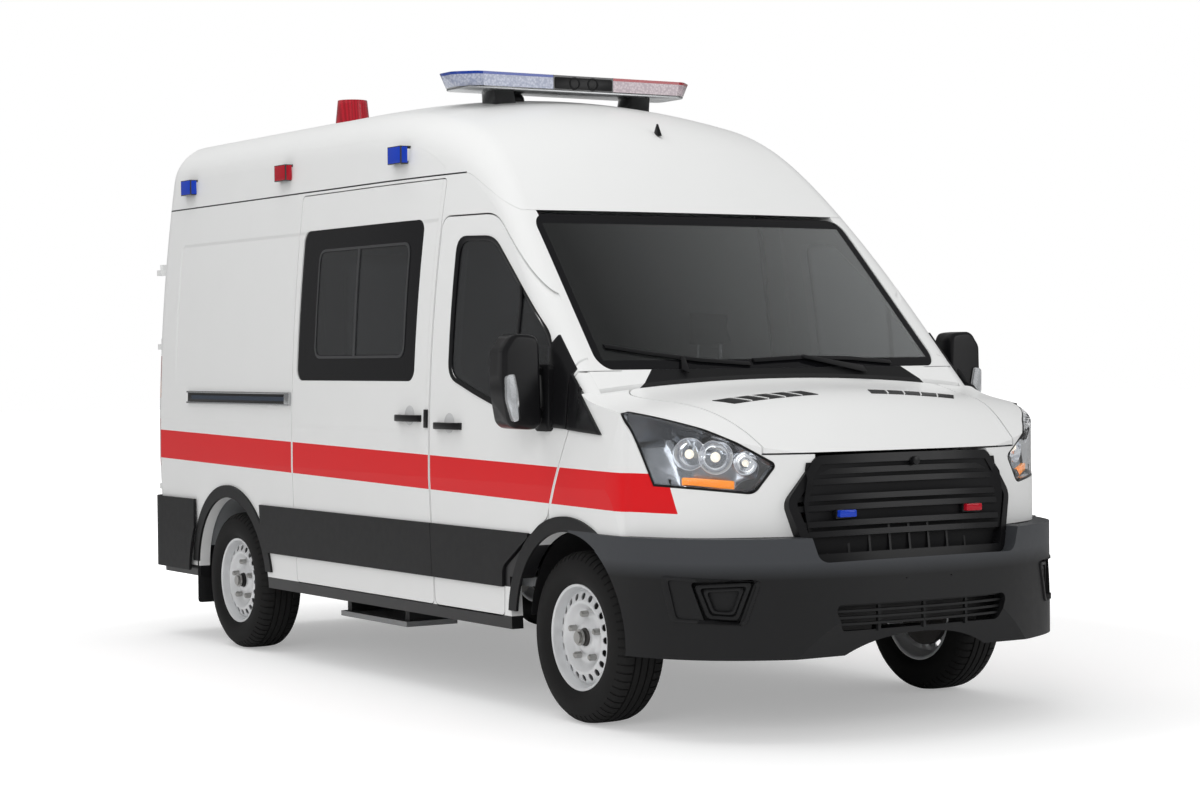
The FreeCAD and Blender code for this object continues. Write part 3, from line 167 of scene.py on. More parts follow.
def grained(name, colour, second, scale, rough, relief, metallic=0.0, coat=0.0, spread=0.08,
            paint=None, specular=0.5, form=None):
    """Surface with two close tones, uneven gloss and a fine relief, all from noise at real scale.

    scale is grains a metre, relief the height in metres, paint an optional function that
    lays further colours over the two tones, form one that gives a pressed shape's height.
    """
    material, tree, inputs = blank(name)
    inputs["Metallic"].default_value = metallic
    inputs["Coat Weight"].default_value = coat
    inputs["Coat Roughness"].default_value = 0.04
    inputs["Specular IOR Level"].default_value = specular
    spot, x, y, z = places(tree)
    fine = node(tree, "TexNoise", [spot, None, scale, 4.0, 0.6]).outputs[0]
    wide = node(tree, "TexNoise", [spot, None, max(scale / 60, 0.8), 3.0, 0.5]).outputs[0]
    share = scaled(tree, wide, 0.6, times(tree, fine, 0.4))
    tone = mixed(tree, share, colour, second)
    if paint:
        tone = paint(tree, tone, x, y, z)
    tree.links.new(tone, inputs["Base Color"])
    uneven = scaled(tree, wide, spread, rough - spread / 2)
    tree.links.new(uneven, inputs["Roughness"])
    bump = node(tree, "Bump")
    bump.inputs["Distance"].default_value = relief
    tree.links.new(fine, bump.inputs["Height"])
    if form:
        shape = node(tree, "Bump")
        shape.inputs["Distance"].default_value = 1.0
        tree.links.new(form(tree, x, y, z), shape.inputs["Height"])
        tree.links.new(bump.outputs[0], shape.inputs["Normal"])
        bump = shape
    tree.links.new(bump.outputs[0], inputs["Normal"])
    return material


def livery(tree, tone, x, y, z):
    """Stripe with a slanted front end and a slit at each door seam, roof gutter, band tip, sill."""
    side = over(tree, size_of(tree, x), FLANK)
    along = less(tree, y, FRONT)
    rise = less(tree, z, scaled(tree, along, STRIPE_RISE, STRIPE_LOW))
    slant = scaled(tree, rise, STRIPE_SLANT, STRIPE_FRONT)
    stripe = times(tree, between(tree, rise, 0.0, STRIPE_TALL), between(tree, along, slant, STRIPE_END))
    stripe = times(tree, stripe, side)
    drop = less(tree, DOOR_SEAM_HIGH, z)
    door_seam = scaled(tree, drop, DOOR_SEAM_LEAN, DOOR_SEAM)
    for seam in (*SEAMS, door_seam):
        off = size_of(tree, less(tree, along, seam))
        stripe = times(tree, stripe, over(tree, off, SEAM_GAP))
    tone = mixed(tree, stripe, tone, RED)
    gutter = times(tree, between(tree, z, GUTTER - GUTTER_HALF, GUTTER + GUTTER_HALF),
                   between(tree, along, *GUTTER_RUN))
    tone = mixed(tree, gutter, tone, SILL_BLACK)
    tip = times(tree, between(tree, along, *BAND_TIP), between(tree, z, *BAND_SPAN))
    tone = mixed(tree, times(tree, side, tip), tone, SILL_BLACK)
    return mixed(tree, under(tree, z, SILL_TOP), tone, SILL_BLACK)


def pressing(tree, x, y, z):
    """Height of the shallow pressing behind the side window, round-cornered at the rear."""
    past = less(tree, y, back(PRESSING_END - PRESSING_CORNER))
    above = less(tree, z, PRESSING_TOP - PRESSING_CORNER)
    past, above = (sums(tree, "MAXIMUM", value, 0.0) for value in (past, above))
    reach = sums(tree, "SQRT", scaled(tree, past, past, times(tree, above, above)))
    edge = ramp(tree, reach, PRESSING_EDGE, PRESSING_CORNER)
    height = times(tree, edge, ramp(tree, z, *PRESSING_FADE))
    height = scaled(tree, ramp(tree, z, *CREASE), CREASE_SHARE, height)
    flank = times(tree, over(tree, size_of(tree, x), PRESSING_FLANK),
                  over(tree, y, back(PRESSING_START)))
    return times(tree, height, times(tree, flank, PRESSING_DEEP))


def dress(material, *names):
    """Gives CAD nodes their material."""
    for name in names:
        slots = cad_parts[name].data.materials
        slots.clear()
        slots.append(material)


body_white = grained("body_white", WHITE, SHADE_WHITE, 250, 0.30, 0.000002, paint=livery,
                     specular=0.4, form=pressing)
dress(body_white, "roof", "body_side_left", "body_side_right", "sliding_door", "front_door_left",
      "front_door_right", "front_wing_left", "front_wing_right", "bonnet", "rear_door_left",
      "rear_door_right")

# ---------------------------------------------------------------------------
# Black mouldings: bumpers, wheel-arch and side bands, grille and cowl, injection
# moulded in unpainted polypropylene with a fine leather-like grain.
# ---------------------------------------------------------------------------
MOULDING, SHADE_MOULDING = (0.008, 0.0082, 0.0088, 1), (0.012, 0.012, 0.0128, 1)
# The lighter grey below is a painted highlight for the front bumper's top ledge.
LEDGE_PAINTED_HIGHLIGHT = (0.062, 0.066, 0.073, 1)
LEDGE_LOW, LEDGE_TALL, LEDGE_TOP, LEDGE_SHARE, LEDGE_END = 0.62, 0.08, 0.78, 0.8, 1.0
COWL_HALF, COWL_FRONT_Z, COWL_LEAN = 0.690, 1.375, -1.2


def painted_ledge_highlight(tree, tone, x, y, z):
    """Upper part of the front bumper and the bands beside it, painted lighter as a painted highlight from
    above.
    """
    rise = times(tree, less(tree, z, LEDGE_LOW), 1 / LEDGE_TALL)
    rise = clamped(tree, rise, LEDGE_SHARE)
    rise = times(tree, rise, under(tree, z, LEDGE_TOP))
    rise = times(tree, rise, under(tree, y, back(LEDGE_END)))
    return mixed(tree, rise, tone, LEDGE_PAINTED_HIGHLIGHT)


def cowl_ends(tree, tone, x, y, z):
    """The cowl's two ends are sprayed with the body, up to a slanted edge."""
    edge = scaled(tree, less(tree, z, COWL_FRONT_Z), COWL_LEAN, COWL_HALF)
    return mixed(tree, over(tree, size_of(tree, x), edge), tone, WHITE)


# moulded_black paints a highlight on the front bumper's top ledge.
moulded = grained("moulded_black", MOULDING, SHADE_MOULDING, 1800, 0.5, 0.00006, spread=0.1,
                  specular=0.32, paint=painted_ledge_highlight)
satin = grained("satin_black", (0.006, 0.006, 0.0066, 1), (0.010, 0.010, 0.011, 1), 900, 0.3,
                0.00003, specular=0.3)
dress(moulded, "front_bumper", "rear_bumper", "side_cladding", "front_door_cladding_left",
      "front_door_cladding_right", "arch_liners", "radiator", "step_carrier")
dress(satin, "grille", "mirror_left", "mirror_right")
dress(grained("cowl_black", MOULDING, SHADE_MOULDING, 1800, 0.45, 0.00004, specular=0.3,
              paint=cowl_ends), "scuttle")

# ---------------------------------------------------------------------------
# Glass: laminated windscreen and tempered side panes, tinted grey, with the
# black ceramic border that hides the bonding.
# ---------------------------------------------------------------------------
CERAMIC, TINT = (0.006, 0.006, 0.007, 1), (0.115, 0.12, 0.125, 1)
# The second tone on this line is a painted sky reflection for the windscreen.
SCREEN_TINT, PAINTED_SKY_REFLECTION = (0.075, 0.08, 0.08, 1), (0.62, 0.64, 0.64, 1)
SCREEN_LOW, SCREEN_HALF, SCREEN_TAPER, SCREEN_CLEAR = 1.415, 0.838, -0.0955, (1.452, 2.035)
PANE_RUN, PANE_HEIGHTS = (2.44, 3.32), (1.487, 1.975)
QUARTER_POST, DOOR_GLASS_END = (1.436, 1.458), 1.985
LEAF_HALVES, LEAF_HEIGHTS = (0.165, 0.70), (1.45, 2.01)
HAZE_SCALE, HAZE_ROUGH, RIPPLE, FAR_SWEEP = 6.0, 0.03, 0.0004, (0.62, 0.45)


def tinted(name, colour, rough, border=None, clear=0.85, far=None):
    """Glass that lets light through in its colour, with an opaque printed border.

    far is a painted sky reflection: a lighter tone laid towards the vehicle's left side.
    """
    material, tree, inputs = blank(name)
    inputs["IOR"].default_value = 1.45
    inputs["Specular IOR Level"].default_value = 0.3
    spot, x, y, z = places(tree)
    haze = node(tree, "TexNoise", [spot, None, HAZE_SCALE, 3.0, 0.5]).outputs[0]
    tree.links.new(scaled(tree, haze, HAZE_ROUGH, rough), inputs["Roughness"])
    ripple = node(tree, "Bump")
    ripple.inputs["Distance"].default_value = RIPPLE
    tree.links.new(haze, ripple.inputs["Height"])
    tree.links.new(ripple.outputs[0], inputs["Normal"])
    tone = mixed(tree, haze, colour, (*(part * 0.9 for part in colour[:3]), 1))
    if far:
        # Painted reflection: the glass turns towards the far tone across the vehicle's width.
        tone = mixed(tree, clamped(tree, scaled(tree, x, *FAR_SWEEP)), tone, far)
    inputs["Transmission Weight"].default_value = clear
    if border:
        edge = border(tree, x, y, z)
        tone = mixed(tree, edge, tone, CERAMIC)
        tree.links.new(scaled(tree, edge, -clear, clear), inputs["Transmission Weight"])
    tree.links.new(tone, inputs["Base Color"])
    return material


def screen_border(tree, x, y, z):
    """Band along the windscreen's sides, its bottom edge and its top."""
    half = scaled(tree, less(tree, z, SCREEN_LOW), SCREEN_TAPER, SCREEN_HALF)
    sides = over(tree, size_of(tree, x), half)
    low, high = SCREEN_CLEAR
    ends = sums(tree, "MAXIMUM", under(tree, z, low), over(tree, z, high))
    return sums(tree, "MAXIMUM", sides, ends)


def pane_border(tree, x, y, z):
    """Wide band round the two sliding panes of a side window."""
    inside = times(tree, between(tree, y, *map(back, PANE_RUN)), between(tree, z, *PANE_HEIGHTS))
    return less(tree, 1.0, inside)


def door_border(tree, x, y, z):
    """The post behind the door window's quarter pane and the band at its rear edge."""
    return sums(tree, "MAXIMUM", between(tree, y, *map(back, QUARTER_POST)),
                over(tree, y, back(DOOR_GLASS_END)))


def leaf_border(tree, x, y, z):
    """Band round the window of each rear door leaf."""
    inside = times(tree, between(tree, size_of(tree, x), *LEAF_HALVES),
                   between(tree, z, *LEAF_HEIGHTS))
    return less(tree, 1.0, inside)


# The windscreen's lighter sweep towards the left is a painted sky reflection.
dress(tinted("windscreen_glass", SCREEN_TINT, 0.01, screen_border, far=PAINTED_SKY_REFLECTION), "windscreen")
dress(tinted("side_glass", TINT, 0.01, pane_border), "side_windows")
dress(tinted("door_glass", TINT, 0.01, door_border), "front_door_glass_left",
      "front_door_glass_right")
dress(tinted("rear_glass", TINT, 0.01, leaf_border), "rear_door_glass_left",
      "rear_door_glass_right")

# ---------------------------------------------------------------------------
# Running gear: sprayed chassis steel, cast suspension parts, an aluminised
# exhaust and a plain cast engine block seen only from below.
# ---------------------------------------------------------------------------
chassis_black = grained("chassis_black", (0.012, 0.012, 0.013, 1), (0.020, 0.019, 0.018, 1), 260,
                        0.55, 0.0001, metallic=0.2)
cast = grained("cast_iron", (0.16, 0.155, 0.15, 1), (0.11, 0.10, 0.095, 1), 420, 0.62, 0.0002,
               metallic=0.7)
aluminised = grained("aluminised_steel", (0.42, 0.42, 0.41, 1), (0.33, 0.32, 0.30, 1), 150, 0.42,
                     0.00005, metallic=0.9)
dress(chassis_black, "chassis_frame", "front_subframe", "rear_axle", "fuel_tank")
dress(cast, "engine", "knuckle_left", "knuckle_right")
dress(aluminised, "exhaust")
dress(grained("tread_plate", (0.34, 0.345, 0.35, 1), (0.26, 0.265, 0.27, 1), 320, 0.4, 0.0002,
              metallic=0.9), "side_step")

# ---------------------------------------------------------------------------
# Cab and load space: grey vinyl floor, moulded dashboard, foam-filled wheel rim
# and a painted steel bulkhead behind the seats.
# ---------------------------------------------------------------------------
dress(grained("floor_vinyl", (0.22, 0.23, 0.24, 1), (0.30, 0.31, 0.32, 1), 500, 0.5, 0.00008),
      "floor", "cab_floor", "wheel_housings")
dress(grained("bulkhead_grey", (0.42, 0.43, 0.44, 1), (0.47, 0.48, 0.49, 1), 350, 0.45, 0.00005),
      "bulkhead")
dress(grained("dashboard_grey", (0.035, 0.036, 0.038, 1), (0.05, 0.05, 0.052, 1), 1500, 0.6,
              0.0001), "dashboard")
dress(grained("wheel_rim_grain", (0.016, 0.016, 0.017, 1), (0.024, 0.024, 0.025, 1), 1200, 0.42,
              0.00012), "steering_wheel")

# ---------------------------------------------------------------------------
# Tyres: commercial radials with four straight grooves, cross-cut shoulders and
# a raised rib above the rim, moulded in carbon-black rubber.
# ---------------------------------------------------------------------------
TREAD_PITCHES, PITCH_STEPS, CUT_DEPTH = 60, 5, 0.006
SHOULDER, SHOULDER_DROP = (0.050, 0.104), 0.034
# Offsets from the tyre's middle with the drop below the tread there.
TYRE_HALF_PROFILE = [(0.000, 0.000), (0.012, 0.000), (0.0135, -0.008), (0.0185, -0.008),
                     (0.020, 0.000), (0.042, -0.0005), (0.0435, -0.0085), (0.0485, -0.0085),
                     (0.050, -0.001), (0.070, -0.003), (0.084, -0.008), (0.098, -0.020),
                     (0.1075, -0.034), (0.113, -0.051), (0.1158, -0.074), (0.1145, -0.096),
                     (0.109, -0.112), (0.1035, -0.1185), (0.100, -0.125), (0.0965, -0.1285),
                     (0.0905, -0.1295), (0.0895, -0.1425)]
AXLE = {"center": (0, 0, 0), "axis": (1, 0, 0)}
tyre_low, tyre_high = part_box("tyre_front_left")
TYRE_RADIUS = (tyre_high.z - tyre_low.z) / 2
TREAD_RADIUS = TYRE_RADIUS - 0.0002
half_section = [(offset, TREAD_RADIUS + drop) for offset, drop in TYRE_HALF_PROFILE]
pitch = 2 * math.pi / TREAD_PITCHES
cut_start, cut_end = pitch * 3 / PITCH_STEPS, pitch * 4 / PITCH_STEPS
cut_scale = 1 - CUT_DEPTH / TYRE_RADIUS


def begin(kind, name, **size):
    """Adds a primitive with nothing else selected, and names it."""
    bpy.ops.object.select_all(action="DESELECT")
    getattr(bpy.ops.mesh, "primitive_" + kind + "_add")(**size)
    piece = bpy.context.object
    piece.name = piece.data.name = name
    return piece


def edit(piece):
    """Opens a piece in edit mode with everything selected."""
    bpy.ops.object.select_all(action="DESELECT")
    piece.select_set(True)
    bpy.context.view_layer.objects.active = piece
    bpy.ops.object.mode_set(mode="EDIT")
    bpy.ops.mesh.select_all(action="SELECT")


def close():
    """Leaves edit mode."""
    bpy.ops.object.mode_set(mode="OBJECT")


def pick(piece, test):
    """In edit mode, selects the faces whose centre and normal pass a test."""
    bpy.ops.mesh.select_all(action="DESELECT")
    bpy.ops.mesh.select_mode(type="FACE")
    close()
    for face in piece.data.polygons:
        face.select = bool(test(face.center, face.normal))
    bpy.ops.object.mode_set(mode="EDIT")


def weld(gap, outwards=False):
    """In edit mode, merges points closer than the gap and may turn every face outwards."""
    bpy.ops.mesh.select_all(action="SELECT")
    bpy.ops.mesh.remove_doubles(threshold=gap)
    if outwards:
        bpy.ops.mesh.normals_make_consistent(inside=False)


def repeat_round(count):
    """In edit mode, repeats what is selected evenly round the axle."""
    bpy.ops.mesh.spin(steps=count - 1, dupli=True, angle=2 * math.pi * (count - 1) / count, **AXLE)


def section_loop(name, points):
    """A closed loop of edges from offsets along the axle and radii."""
    piece = begin("circle", name, vertices=len(points), fill_type="NOTHING")
    for point, (offset, radius) in zip(piece.data.vertices, points):
        point.co = (offset, 0, radius)
    return piece


def done(piece, material, body="vehicle_body", smooth=32):
    """Applies modifiers and place, shades, dresses a finished piece and sets what it rides on."""
    if bpy.context.mode != "OBJECT":
        close()
    bpy.ops.object.select_all(action="DESELECT")
    piece.select_set(True)
    bpy.context.view_layer.objects.active = piece
    for modifier in [m.name for m in piece.modifiers]:
        bpy.ops.object.modifier_apply(modifier=modifier)
    bpy.ops.object.transform_apply(location=True, rotation=True, scale=True)
    bpy.ops.object.shade_smooth_by_angle(angle=math.radians(smooth))
    piece.data.materials.clear()
    piece.data.materials.append(material)
    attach(piece, body)
    return piece


def moved_copy(piece, name, shift=(0, 0, 0), turn=None, flip_x=False):
    """A copy with its own mesh, turned about the origin, mirrored across X or moved."""
    copy = piece.copy()
    copy.data = piece.data.copy()
    copy.name = copy.data.name = name
    for key in [k for k in copy.keys() if k.startswith("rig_")]:
        del copy[key]
    copy.parent = None
    copy.matrix_world = Matrix.Identity(4)
    bpy.context.collection.objects.link(copy)
    change = Matrix.Translation(shift) @ (turn or Matrix.Identity(4))
    if flip_x:
        change = change @ Matrix.Scale(-1, 4, (1, 0, 0))
    copy.data.transform(change)
    if flip_x:
        copy.data.flip_normals()
    return copy


def wheel_places():
    """Each wheel's name, its body, its middle and the turn that faces it outwards."""
    for place in ("front_left", "front_right", "rear_left", "rear_right"):
        low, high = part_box("tyre_" + place)
        outward = Matrix.Identity(4) if low.x > 0 else Matrix.Rotation(math.pi, 4, "Z")
        yield place, "wheel_" + place, (low + high) / 2, outward


def in_cut(centre, normal):
    """Picks the shoulder faces in the one step of a pitch that is cut."""
    turn = abs(math.atan2(centre.y, centre.z))
    low, high = SHOULDER
    return (cut_start < turn < cut_end and low < abs(centre.x) < high
            and math.hypot(centre.y, centre.z) > TYRE_RADIUS - SHOULDER_DROP)


rubber = grained("tyre_rubber", (0.010, 0.010, 0.0105, 1), (0.017, 0.0165, 0.016, 1), 380, 0.68,
                 0.00015, spread=0.15, specular=0.2)
tyre = section_loop("tyre_master", half_section + [(-u, r) for u, r in reversed(half_section[1:])])
edit(tyre)
bpy.ops.mesh.spin(steps=PITCH_STEPS, angle=pitch, **AXLE)
pick(tyre, in_cut)
bpy.ops.mesh.extrude_region_shrink_fatten(TRANSFORM_OT_shrink_fatten={"value": 0})
bpy.ops.transform.resize(value=(1, cut_scale, cut_scale), center_override=(0, 0, 0))
bpy.ops.mesh.select_all(action="SELECT")
repeat_round(TREAD_PITCHES)
weld(0.0002, outwards=True)
close()
for place, body, middle, outward in wheel_places():
    treaded = done(moved_copy(tyre, "treaded_tyre_" + place, middle), rubber, body, smooth=28)
    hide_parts("tyre_" + place)
bpy.data.objects.remove(tyre)

# ---------------------------------------------------------------------------
# Steel wheels: a pressed disc with twenty round holes, welded in a rolled rim and
# sprayed silver, over the cast brake disc and its hub.
# ---------------------------------------------------------------------------
RIM_STEPS, VENT_HOLES, HOLE_CIRCLE, HOLE_RADIUS = 96, 20, 0.1640, 0.0142
BRAKE_RADIUS, BRAKE_THICK, BRAKE_INBOARD, BRAKE_RING, HUB_LONG = 0.150, 0.024, 0.050, 0.062, 0.087
# Each run holds offsets outboard of the tyre's middle with the radii there.
DISC_FRONT = [(0.0580, 0.0355), (0.0665, 0.0375), (0.0670, 0.0560), (0.0640, 0.0660), (0.0580, 0.0720),
              (0.0545, 0.0800), (0.0540, 0.1040), (0.0560, 0.1120), (0.0640, 0.1220), (0.0740, 0.1310),
              (0.0785, 0.1380), (0.0790, 0.1440), (0.0765, 0.1540), (0.0715, 0.1680), (0.0660, 0.1790),
              (0.0600, 0.1850), (0.0520, 0.1885)]
BARREL = [(0.0500, 0.1925), (0.0560, 0.1960), (0.0700, 0.1985), (0.0860, 0.2010), (0.0925, 0.2035),
          (0.0955, 0.2080), (0.0958, 0.2125), (0.0945, 0.2146), (0.0915, 0.2146), (0.0900, 0.2100),
          (0.0880, 0.2045), (0.0500, 0.2010), (0.0300, 0.1800), (-0.0500, 0.1800), (-0.0700, 0.2010),
          (-0.0900, 0.2045), (-0.0945, 0.2146), (-0.0958, 0.2146), (-0.0955, 0.2080),
          (-0.0920, 0.2000), (-0.0720, 0.1960), (-0.0520, 0.1760), (0.0280, 0.1760), (0.0440, 0.1830)]
DISC_BACK = [(0.0480, 0.1805), (0.0560, 0.1795), (0.0630, 0.1730), (0.0690, 0.1620), (0.0735, 0.1500),
             (0.0745, 0.1430), (0.0740, 0.1395), (0.0700, 0.1345), (0.0600, 0.1250), (0.0515, 0.1140),
             (0.0495, 0.1050), (0.0500, 0.0790), (0.0540, 0.0700), (0.0600, 0.0630), (0.0620, 0.0550),
             (0.0615, 0.0400), (0.0575, 0.0360)]
ALONG_AXLE = (0, math.pi / 2, 0)


def outer_face(centre, normal):
    """Picks the faces that look outboard along the axle."""
    return normal.x > 0.9


def axle_cylinder(name, vertices, radius, depth, location):
    """A cylinder along the axle, opened in edit mode with its place in its mesh."""
    piece = begin("cylinder", name, vertices=vertices, radius=radius, depth=depth,
                  rotation=ALONG_AXLE, location=location)
    bpy.ops.object.transform_apply(location=True, rotation=True, scale=True)
    edit(piece)
    return piece


silver = grained("wheel_silver", (0.78, 0.79, 0.80, 1), (0.70, 0.71, 0.72, 1), 600, 0.34, 0.00004,
                 metallic=0.35, coat=0.4)
rim = section_loop("wheel_master", DISC_FRONT + BARREL + DISC_BACK)
edit(rim)
bpy.ops.mesh.spin(steps=RIM_STEPS, angle=2 * math.pi, **AXLE)
weld(0.0001, outwards=True)
close()
drill = axle_cylinder("hole_cutter", 20, HOLE_RADIUS, 0.06, (0.080, 0, HOLE_CIRCLE))
repeat_round(VENT_HOLES)
close()
holes = rim.modifiers.new("holes", "BOOLEAN")
holes.object, holes.operation, holes.solver = drill, "DIFFERENCE", "EXACT"
bpy.ops.object.select_all(action="DESELECT")
bpy.context.view_layer.objects.active = rim
bpy.ops.object.modifier_apply(modifier="holes")
bpy.data.objects.remove(drill)
for place, body, middle, outward in wheel_places():
    wheel = moved_copy(rim, "steel_wheel_" + place, middle, outward)
    done(wheel, silver, body, smooth=35)
    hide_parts("rim_" + place)
    disc = axle_cylinder("brake_disc_" + place, 64, BRAKE_RADIUS, BRAKE_THICK, (-BRAKE_INBOARD, 0, 0))
    pick(disc, outer_face)
    bpy.ops.mesh.inset(thickness=BRAKE_RING)
    bpy.ops.mesh.extrude_region_move(TRANSFORM_OT_translate={"value": (HUB_LONG, 0, 0)})
    close()
    disc.data.transform(Matrix.Translation(middle) @ outward)
    done(disc, cast, body)
bpy.data.objects.remove(rim)

# ---------------------------------------------------------------------------
# Wheel nuts and hub ends: five long hexagon nuts round the hub of each wheel and
# the forged end of the stub in its middle, zinc plated.
# ---------------------------------------------------------------------------
NUTS, NUT_CIRCLE, NUT_RADIUS, NUT_LONG, NUT_SEAT = 5, 0.094, 0.0135, 0.026, 0.0540
NUT_CHAMFER, NUT_POINT = 0.004, 0.006
STUB_RADIUS, STUB_OUT, STUB_THICK, STUB_EDGE, STUB_CAP = 0.0325, 0.0385, 0.010, 0.009, 0.009
plated = grained("zinc_plate", (0.50, 0.50, 0.49, 1), (0.38, 0.37, 0.35, 1), 500, 0.33, 0.00005,
                 metallic=0.95)
nuts = axle_cylinder("wheel_nuts", 6, NUT_RADIUS, NUT_LONG, (NUT_LONG / 2, 0, NUT_CIRCLE))
pick(nuts, outer_face)
bpy.ops.mesh.inset(thickness=NUT_CHAMFER)
bpy.ops.transform.translate(value=(NUT_POINT, 0, 0))
bpy.ops.mesh.select_all(action="SELECT")
repeat_round(NUTS)
bpy.ops.mesh.primitive_cylinder_add(vertices=32, radius=STUB_RADIUS, depth=STUB_THICK,
                                    rotation=ALONG_AXLE, location=(STUB_OUT, 0, 0))
pick(nuts, lambda centre, normal: normal.x > 0.9 and math.hypot(centre.y, centre.z) < 0.01)
bpy.ops.mesh.inset(thickness=STUB_EDGE)
bpy.ops.mesh.extrude_region_move(TRANSFORM_OT_translate={"value": (STUB_CAP, 0, 0)})
close()
for place, body, middle, outward in wheel_places():
    seat = middle + outward @ Vector((NUT_SEAT, 0, 0))
    done(moved_copy(nuts, "wheel_nuts_" + place, seat, outward), plated, body)
bpy.data.objects.remove(nuts)

# ---------------------------------------------------------------------------
# Door furniture: black moulded pull handles with a finger recess, the lock
# plate between the right doors, and the track that carries the sliding door.
# ---------------------------------------------------------------------------
SIDES = ((1, "left"), (-1, "right"))
FACING = {"X": lambda u, v: (0, u, v), "Y": lambda u, v: (u, 0, v), "Z": lambda u, v: (u, v, 0)}
OUTWARD = {"X": (1, 0, 0), "Y": (0, -1, 0), "Z": (0, 0, 1)}
STEP_LIMIT, LEAN_SPAN = 0.15, 0.10
HANDLE_HALF, HANDLE_OUT, HANDLE_TALL, RECESS_RADIUS = 0.111, 0.036, 0.030, 0.044
RECESS_RISE, RECESS_LIP, RECESS_BULGE, RECESS_OFF = 0.012, 0.004, 0.0015, 0.0008
DOOR_HANDLE_AT, SLIDE_HANDLE_AT = (1.985, 1.177), (2.348, 1.205)
LOCK_RUN, LOCK_HEIGHTS = (2.178, 2.208), (1.165, 1.245)
TRACK_RUN, TRACK_PARTS = (3.575, 4.826), 12
# A ray for the skin starts this far out, ahead or up, beyond every part of the vehicle.
CLEAR_SIDE, CLEAR_FRONT, CLEAR_TOP = 1.6, -1, 3.5


def rounded(corners, radius, steps=4):
    """An outline whose corners are rounded by short chords."""
    points = []
    for i, (u, v) in enumerate(corners):
        here = Vector((u, v))
        before = Vector(corners[i - 1]) - here
        after = Vector(corners[(i + 1) % len(corners)]) - here
        reach = min(radius, before.length / 2, after.length / 2)
        start, end = here + before.normalized() * reach, here + after.normalized() * reach
        for k in range(steps + 1):
            t = k / steps
            spot = start * (1 - t) ** 2 + here * (2 * t * (1 - t)) + end * t ** 2
            points.append((spot.x, spot.y))
    return points


def rectangle(u0, v0, u1, v1, radius=0.0, steps=4):
    """A rectangle's outline, with rounded corners where a radius is given."""
    corners = [(u0, v0), (u1, v0), (u1, v1), (u0, v1)]
    return rounded(corners, radius, steps) if radius else corners


def dense(corners, parts=4):
    """The outline with each edge cut into parts."""
    pairs = zip(corners, [*corners[1:], corners[0]])
    return [tuple(Vector(a).lerp(Vector(b), k / parts)) for a, b in pairs for k in range(parts)]


def upright(run, heights, radius=0.0, steps=4):
    """A rectangle on a side, from its run behind the front end and its heights."""
    return rectangle(back(run[0]), heights[0], back(run[1]), heights[1], radius, steps)


def set_back(*spots):
    """Outline points from distances behind the front end and heights."""
    return [(back(distance), z) for distance, z in spots]


def mirrored(side, *spots):
    """Outline points whose first value is mirrored for the right side."""
    return [(side * x, v) for x, v in spots]


def bevel(piece, width, segments=2):
    """Rounds a piece's sharp edges."""
    rim = piece.modifiers.new("rim", "BEVEL")
    rim.width, rim.segments, rim.limit_method = width, segments, "ANGLE"
    return piece


def thickened(piece, thick, axis, edge, segments=2):
    """Gives a flat piece open in edit mode its thickness towards the viewer and its edges' round."""
    push = tuple(part * thick for part in OUTWARD[axis])
    bpy.ops.mesh.extrude_region_move(TRANSFORM_OT_translate={"value": push})
    bpy.ops.mesh.select_all(action="SELECT")
    bpy.ops.mesh.normals_make_consistent(inside=False)
    close()
    return bevel(piece, edge, segments) if edge else piece


def slab(name, corners, thick, axis="X", edge=0.0, segments=2):
    """A flat plate facing along +X, -Y or +Z, thickened from its plane towards the viewer."""
    piece = begin("circle", name, vertices=len(corners), fill_type="NGON")
    for point, (u, v) in zip(piece.data.vertices, corners):
        point.co = FACING[axis](u, v)
    edit(piece)
    return thickened(piece, thick, axis, edge, segments)


def moved(piece, x=0.0, y=0.0, z=0.0, turn=None):
    """Moves a piece's mesh, after a turn about the origin if one is given."""
    piece.data.transform(Matrix.Translation((x, y, z)) @ (turn or Matrix.Identity(4)))
    return piece


def reach_of(names, start, towards):
    """Where a line meets the first of some CAD nodes, or None."""
    hits = [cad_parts[name].ray_cast(Vector(start), Vector(towards)) for name in names]
    spots = [spot for hit, spot, normal, face in hits if hit]
    return min(spots, key=lambda spot: (spot - Vector(start)).length) if spots else None


def skin_at(names, side, y, z, top):
    """Where the side skin is; above the height top it goes on straight as it leaned below."""
    heights = (z,) if z <= top else (top, top - LEAN_SPAN)
    spots = [reach_of(names, (side * CLEAR_SIDE, y, height), (-side, 0, 0)) for height in heights]
    if z <= top or None in spots:
        return spots[0]
    return spots[0] + (spots[0] - spots[1]) * ((z - top) / LEAN_SPAN)


def draped(piece, names, side=0, top=9.0):
    """Lays a piece on the skin: its own X, -Y or Z becomes the distance off the nodes named.

    side is 1 or -1 for a body side, 0 for the nose seen from in front, 2 for a top surface.
    """
    part = {0: 1, 2: 2}.get(side, 0)
    met = []
    for point in piece.data.vertices:
        x, y, z = point.co
        if part == 0:
            met.append(skin_at(names, side, y, z, top))
        elif part == 1:
            met.append(reach_of(names, (x, back(CLEAR_FRONT), z), (0, 1, 0)))
        else:
            met.append(reach_of(names, (x, y, CLEAR_TOP), (0, 0, -1)))
    last = next(spot[part] for spot in met if spot)
    for point, spot in zip(piece.data.vertices, met):
        if spot and abs(spot[part] - last) < STEP_LIMIT:
            last = spot[part]
        off = point.co[part] * (side if part == 0 else 1)
        point.co[part] = last + off
    if side == -1:
        piece.data.flip_normals()
    return piece


